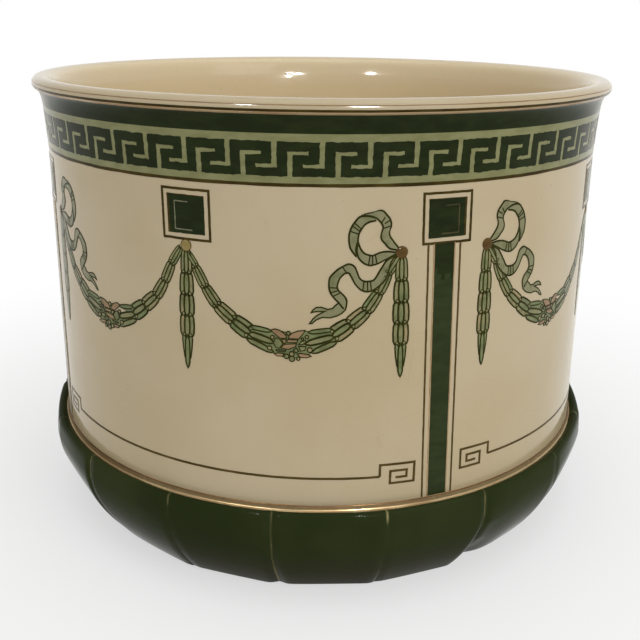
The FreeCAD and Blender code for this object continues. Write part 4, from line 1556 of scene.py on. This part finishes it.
    def dome(self, name: str, fill: Material) -> Piece:
        """Low round button with a dark edge, at the height of the knots."""
        middle = (0, self.knot_up)
        button = disc(name, middle, self.knot_radius, self.knot_line, sides=20)
        paint(button, fill, self.palette.brown)
        with editing(button):
            for rise, size in self.knot_steps:
                bpy.ops.mesh.extrude_region_move(TRANSFORM_OT_translate={"value": (0, 0, rise)})
                bpy.ops.transform.resize(value=(size, size, 1), center_override=(*middle, 0))
            bpy.ops.mesh.poke()
        for face in button.data.polygons:
            from_middle = math.hypot(face.center.x, face.center.y - self.knot_up)
            face.material_index = int(from_middle >= self.knot_radius - self.knot_line)
        return button

    def make_knots(self) -> None:
        """Pale knots under the plain squares and brown ones at the bows."""
        plain = self.dome("plain_knot", self.palette.pale_gold)
        bowed = moved(self.dome("bow_knot", self.palette.brown), self.bow_offset)
        plain = films("plain_knots", plain, self.under_squares(), self.knot_film)
        bowed = films("bow_knots", bowed, self.beside_pilasters(), self.knot_film)
        knots = joined("knot_buttons", [plain, bowed])
        soften(knots, 60)
        hand_over(knots, "knot_studs")


@dataclass
class Fret:
    """Thin line along the foot of each bay, with a squared scroll at each end."""

    palette: Palette
    up: float = 15.25
    droop: float = 0.75
    width: float = 1.0
    gap: float = 10.8
    scroll_width: float = 14.6
    scroll_height: float = 8.6
    # Corners of a scroll, as shares of its width and height.
    scroll: Outline = ((0.0, 0.0), (0.0, 0.61), (1.0, 0.61), (1.0, -0.39), (0.30, -0.39), (0.30, 0.25),
                       (0.78, 0.25), (0.78, -0.10), (0.46, -0.10))
    film: float = 0.12
    shake: float = 0.08

    def build(self) -> None:
        """Draw one bay's line and lay it in the four bays."""
        bay = 2 * FULL_TURN / FORM.stations * FORM.radius(self.up)
        start = bay / 2 - self.gap - self.scroll_width
        right = [(start + x * self.scroll_width, self.up + z * self.scroll_height) for x, z in self.scroll]
        left = [(-across, up) for across, up in right[::-1]]
        ends = [stroke("scroll", side, self.width, 5) for side in (left, right)]
        middle = stroke("line", [left[-1], right[0]], self.width, 70)
        line = paint(joined("fret", [*ends, middle]), self.palette.fret)
        for vertex in line.data.vertices:
            vertex.co.y -= self.droop * vertex.co.x / (bay / 2)
        places = [Spot(turn) for turn in FORM.turns(Station.PLAIN)]
        scrolls = films("fret_scrolls", line, places, self.film, self.shake)
        hand_over(scrolls, "fret_lines")


# Studio

@dataclass(frozen=True)
class Lamp:
    """Square lamp that looks at the middle of the pot; a glint shows only in gloss."""

    name: str
    place: tuple[float, float, float]
    size: float
    power: float
    is_glint: bool = False
    aim: tuple[float, float, float] = (0, 0, 0.1)

    def hang(self) -> None:
        """Add the lamp."""
        deselect()
        bpy.ops.object.light_add(type="AREA", location=self.place)
        lamp = named(self.name)
        lamp.data.size = self.size
        lamp.data.energy = self.power
        run = Vector(self.aim) - Vector(self.place)
        lamp.rotation_euler = run.to_track_quat("-Z", "Y").to_euler()
        lamp.visible_diffuse = not self.is_glint


@dataclass
class Studio:
    """Pale floor, soft light and the camera at the photograph's viewpoint."""

    camera_turn: float = 0.69
    camera_away: float = 0.43454
    camera_height: float = 0.23757
    yaw: float = 0.00098
    pitch: float = 0.34824
    roll: float = 0.01083
    lens: float = 48.417
    floor_size: float = 40.0
    floor_grey: float = 0.94
    # Radii between which the floor fades to white, and its share of white at the first.
    fade: tuple[float, float, float] = (0.13, 0.42, 0.58)
    world_light: float = 0.54
    lamps: tuple[Lamp, ...] = (
        Lamp("overhead", (0.1, -0.2, 2.2), 1.8, 12.0),
        Lamp("soft_front", (1.2, -1.25, 1.0), 1.0, 7.2),
        Lamp("glint_right", (0.31, -1.27, 0.50), 0.06, 20.0, is_glint=True),
        Lamp("glint_upper", (0.42, -1.27, 0.60), 0.03, 4.0, is_glint=True),
        Lamp("glint_lower", (0.43, -1.27, 0.40), 0.03, 4.0, is_glint=True),
        Lamp("glint_left", (-0.62, -1.27, 0.62), 0.06, 18.0, is_glint=True),
    )

    def build(self) -> None:
        """Set up the studio."""
        self.make_floor()
        self.make_world()
        for lamp in self.lamps:
            lamp.hang()
        self.make_camera()
        bpy.context.scene.view_settings.view_transform = "Standard"

    def make_floor(self) -> None:
        """Wide pale floor that fades to the white background far off."""
        deselect()
        bpy.ops.mesh.primitive_circle_add(vertices=96, radius=self.floor_size, fill_type="NGON")
        floor = named("studio_floor")
        mix = Recipe("studio_floor")
        paint(floor, mix.finish((*[self.floor_grey] * 3, 1), 0.8, 0.1))
        away = mix.add("VectorMath", {0: mix.place}, operation="LENGTH").outputs["Value"]
        near, far, share = self.fade
        white = mix.times(mix.span(away, near, far, share, 1.0), mix.seen())
        shaders = {1: mix.shader.outputs[0], 2: mix.add("Emission").outputs[0]}
        both = mix.add("MixShader", {0: white, **shaders})
        mix.pour(mix.nodes["Material Output"], {0: both.outputs[0]})

    def make_world(self) -> None:
        """White background, and a softer light from all round."""
        world = bpy.data.worlds.new("studio")
        bpy.context.scene.world = world
        world.use_nodes = True
        tree = Tree(world.node_tree)
        level = tree.add("MapRange", {"Value": tree.seen(), "To Min": self.world_light, "To Max": 1.0})
        sky = {"Color": (1, 1, 1, 1), "Strength": level.outputs["Result"]}
        tree.pour(tree.nodes["Background"], sky)

    def make_camera(self) -> None:
        """Camera from its place, yaw, pitch and roll, turned with its place about the pot's axis."""
        deselect()
        bpy.ops.object.camera_add()
        camera = named("studio_camera")
        camera.data.sensor_fit = "HORIZONTAL"
        camera.data.sensor_width = 36.0
        camera.data.lens = self.lens
        camera.data.clip_start = 0.01
        level = math.cos(self.pitch)
        ahead = Vector((math.sin(self.yaw) * level, math.cos(self.yaw) * level, -math.sin(self.pitch)))
        right = ahead.cross(Vector((0, 0, 1))).normalized()
        up = right.cross(ahead)
        across = right * math.cos(self.roll) + up * math.sin(self.roll)
        upright = up * math.cos(self.roll) - right * math.sin(self.roll)
        turn = Matrix.Rotation(math.radians(self.camera_turn), 4, "Z")
        axes = Matrix((across, upright, -ahead)).transposed().to_4x4()
        camera.matrix_world = turn @ Matrix.Translation((0, -self.camera_away, self.camera_height)) @ axes
        bpy.context.scene.camera = camera


def main() -> None:
    """Build the pot piece by piece, then the studio round it."""
    logging.basicConfig(level=logging.INFO, format="%(name)s: %(message)s")
    palette = Palette()
    FiredBody(palette).build()
    PaintedBands(palette).build()
    Meander(palette).build()
    Squares(palette).build()
    Pilasters(palette).build()
    Festoons(palette).build()
    Fret(palette).build()
    Studio().build()


if __name__ == "__main__":
    main()
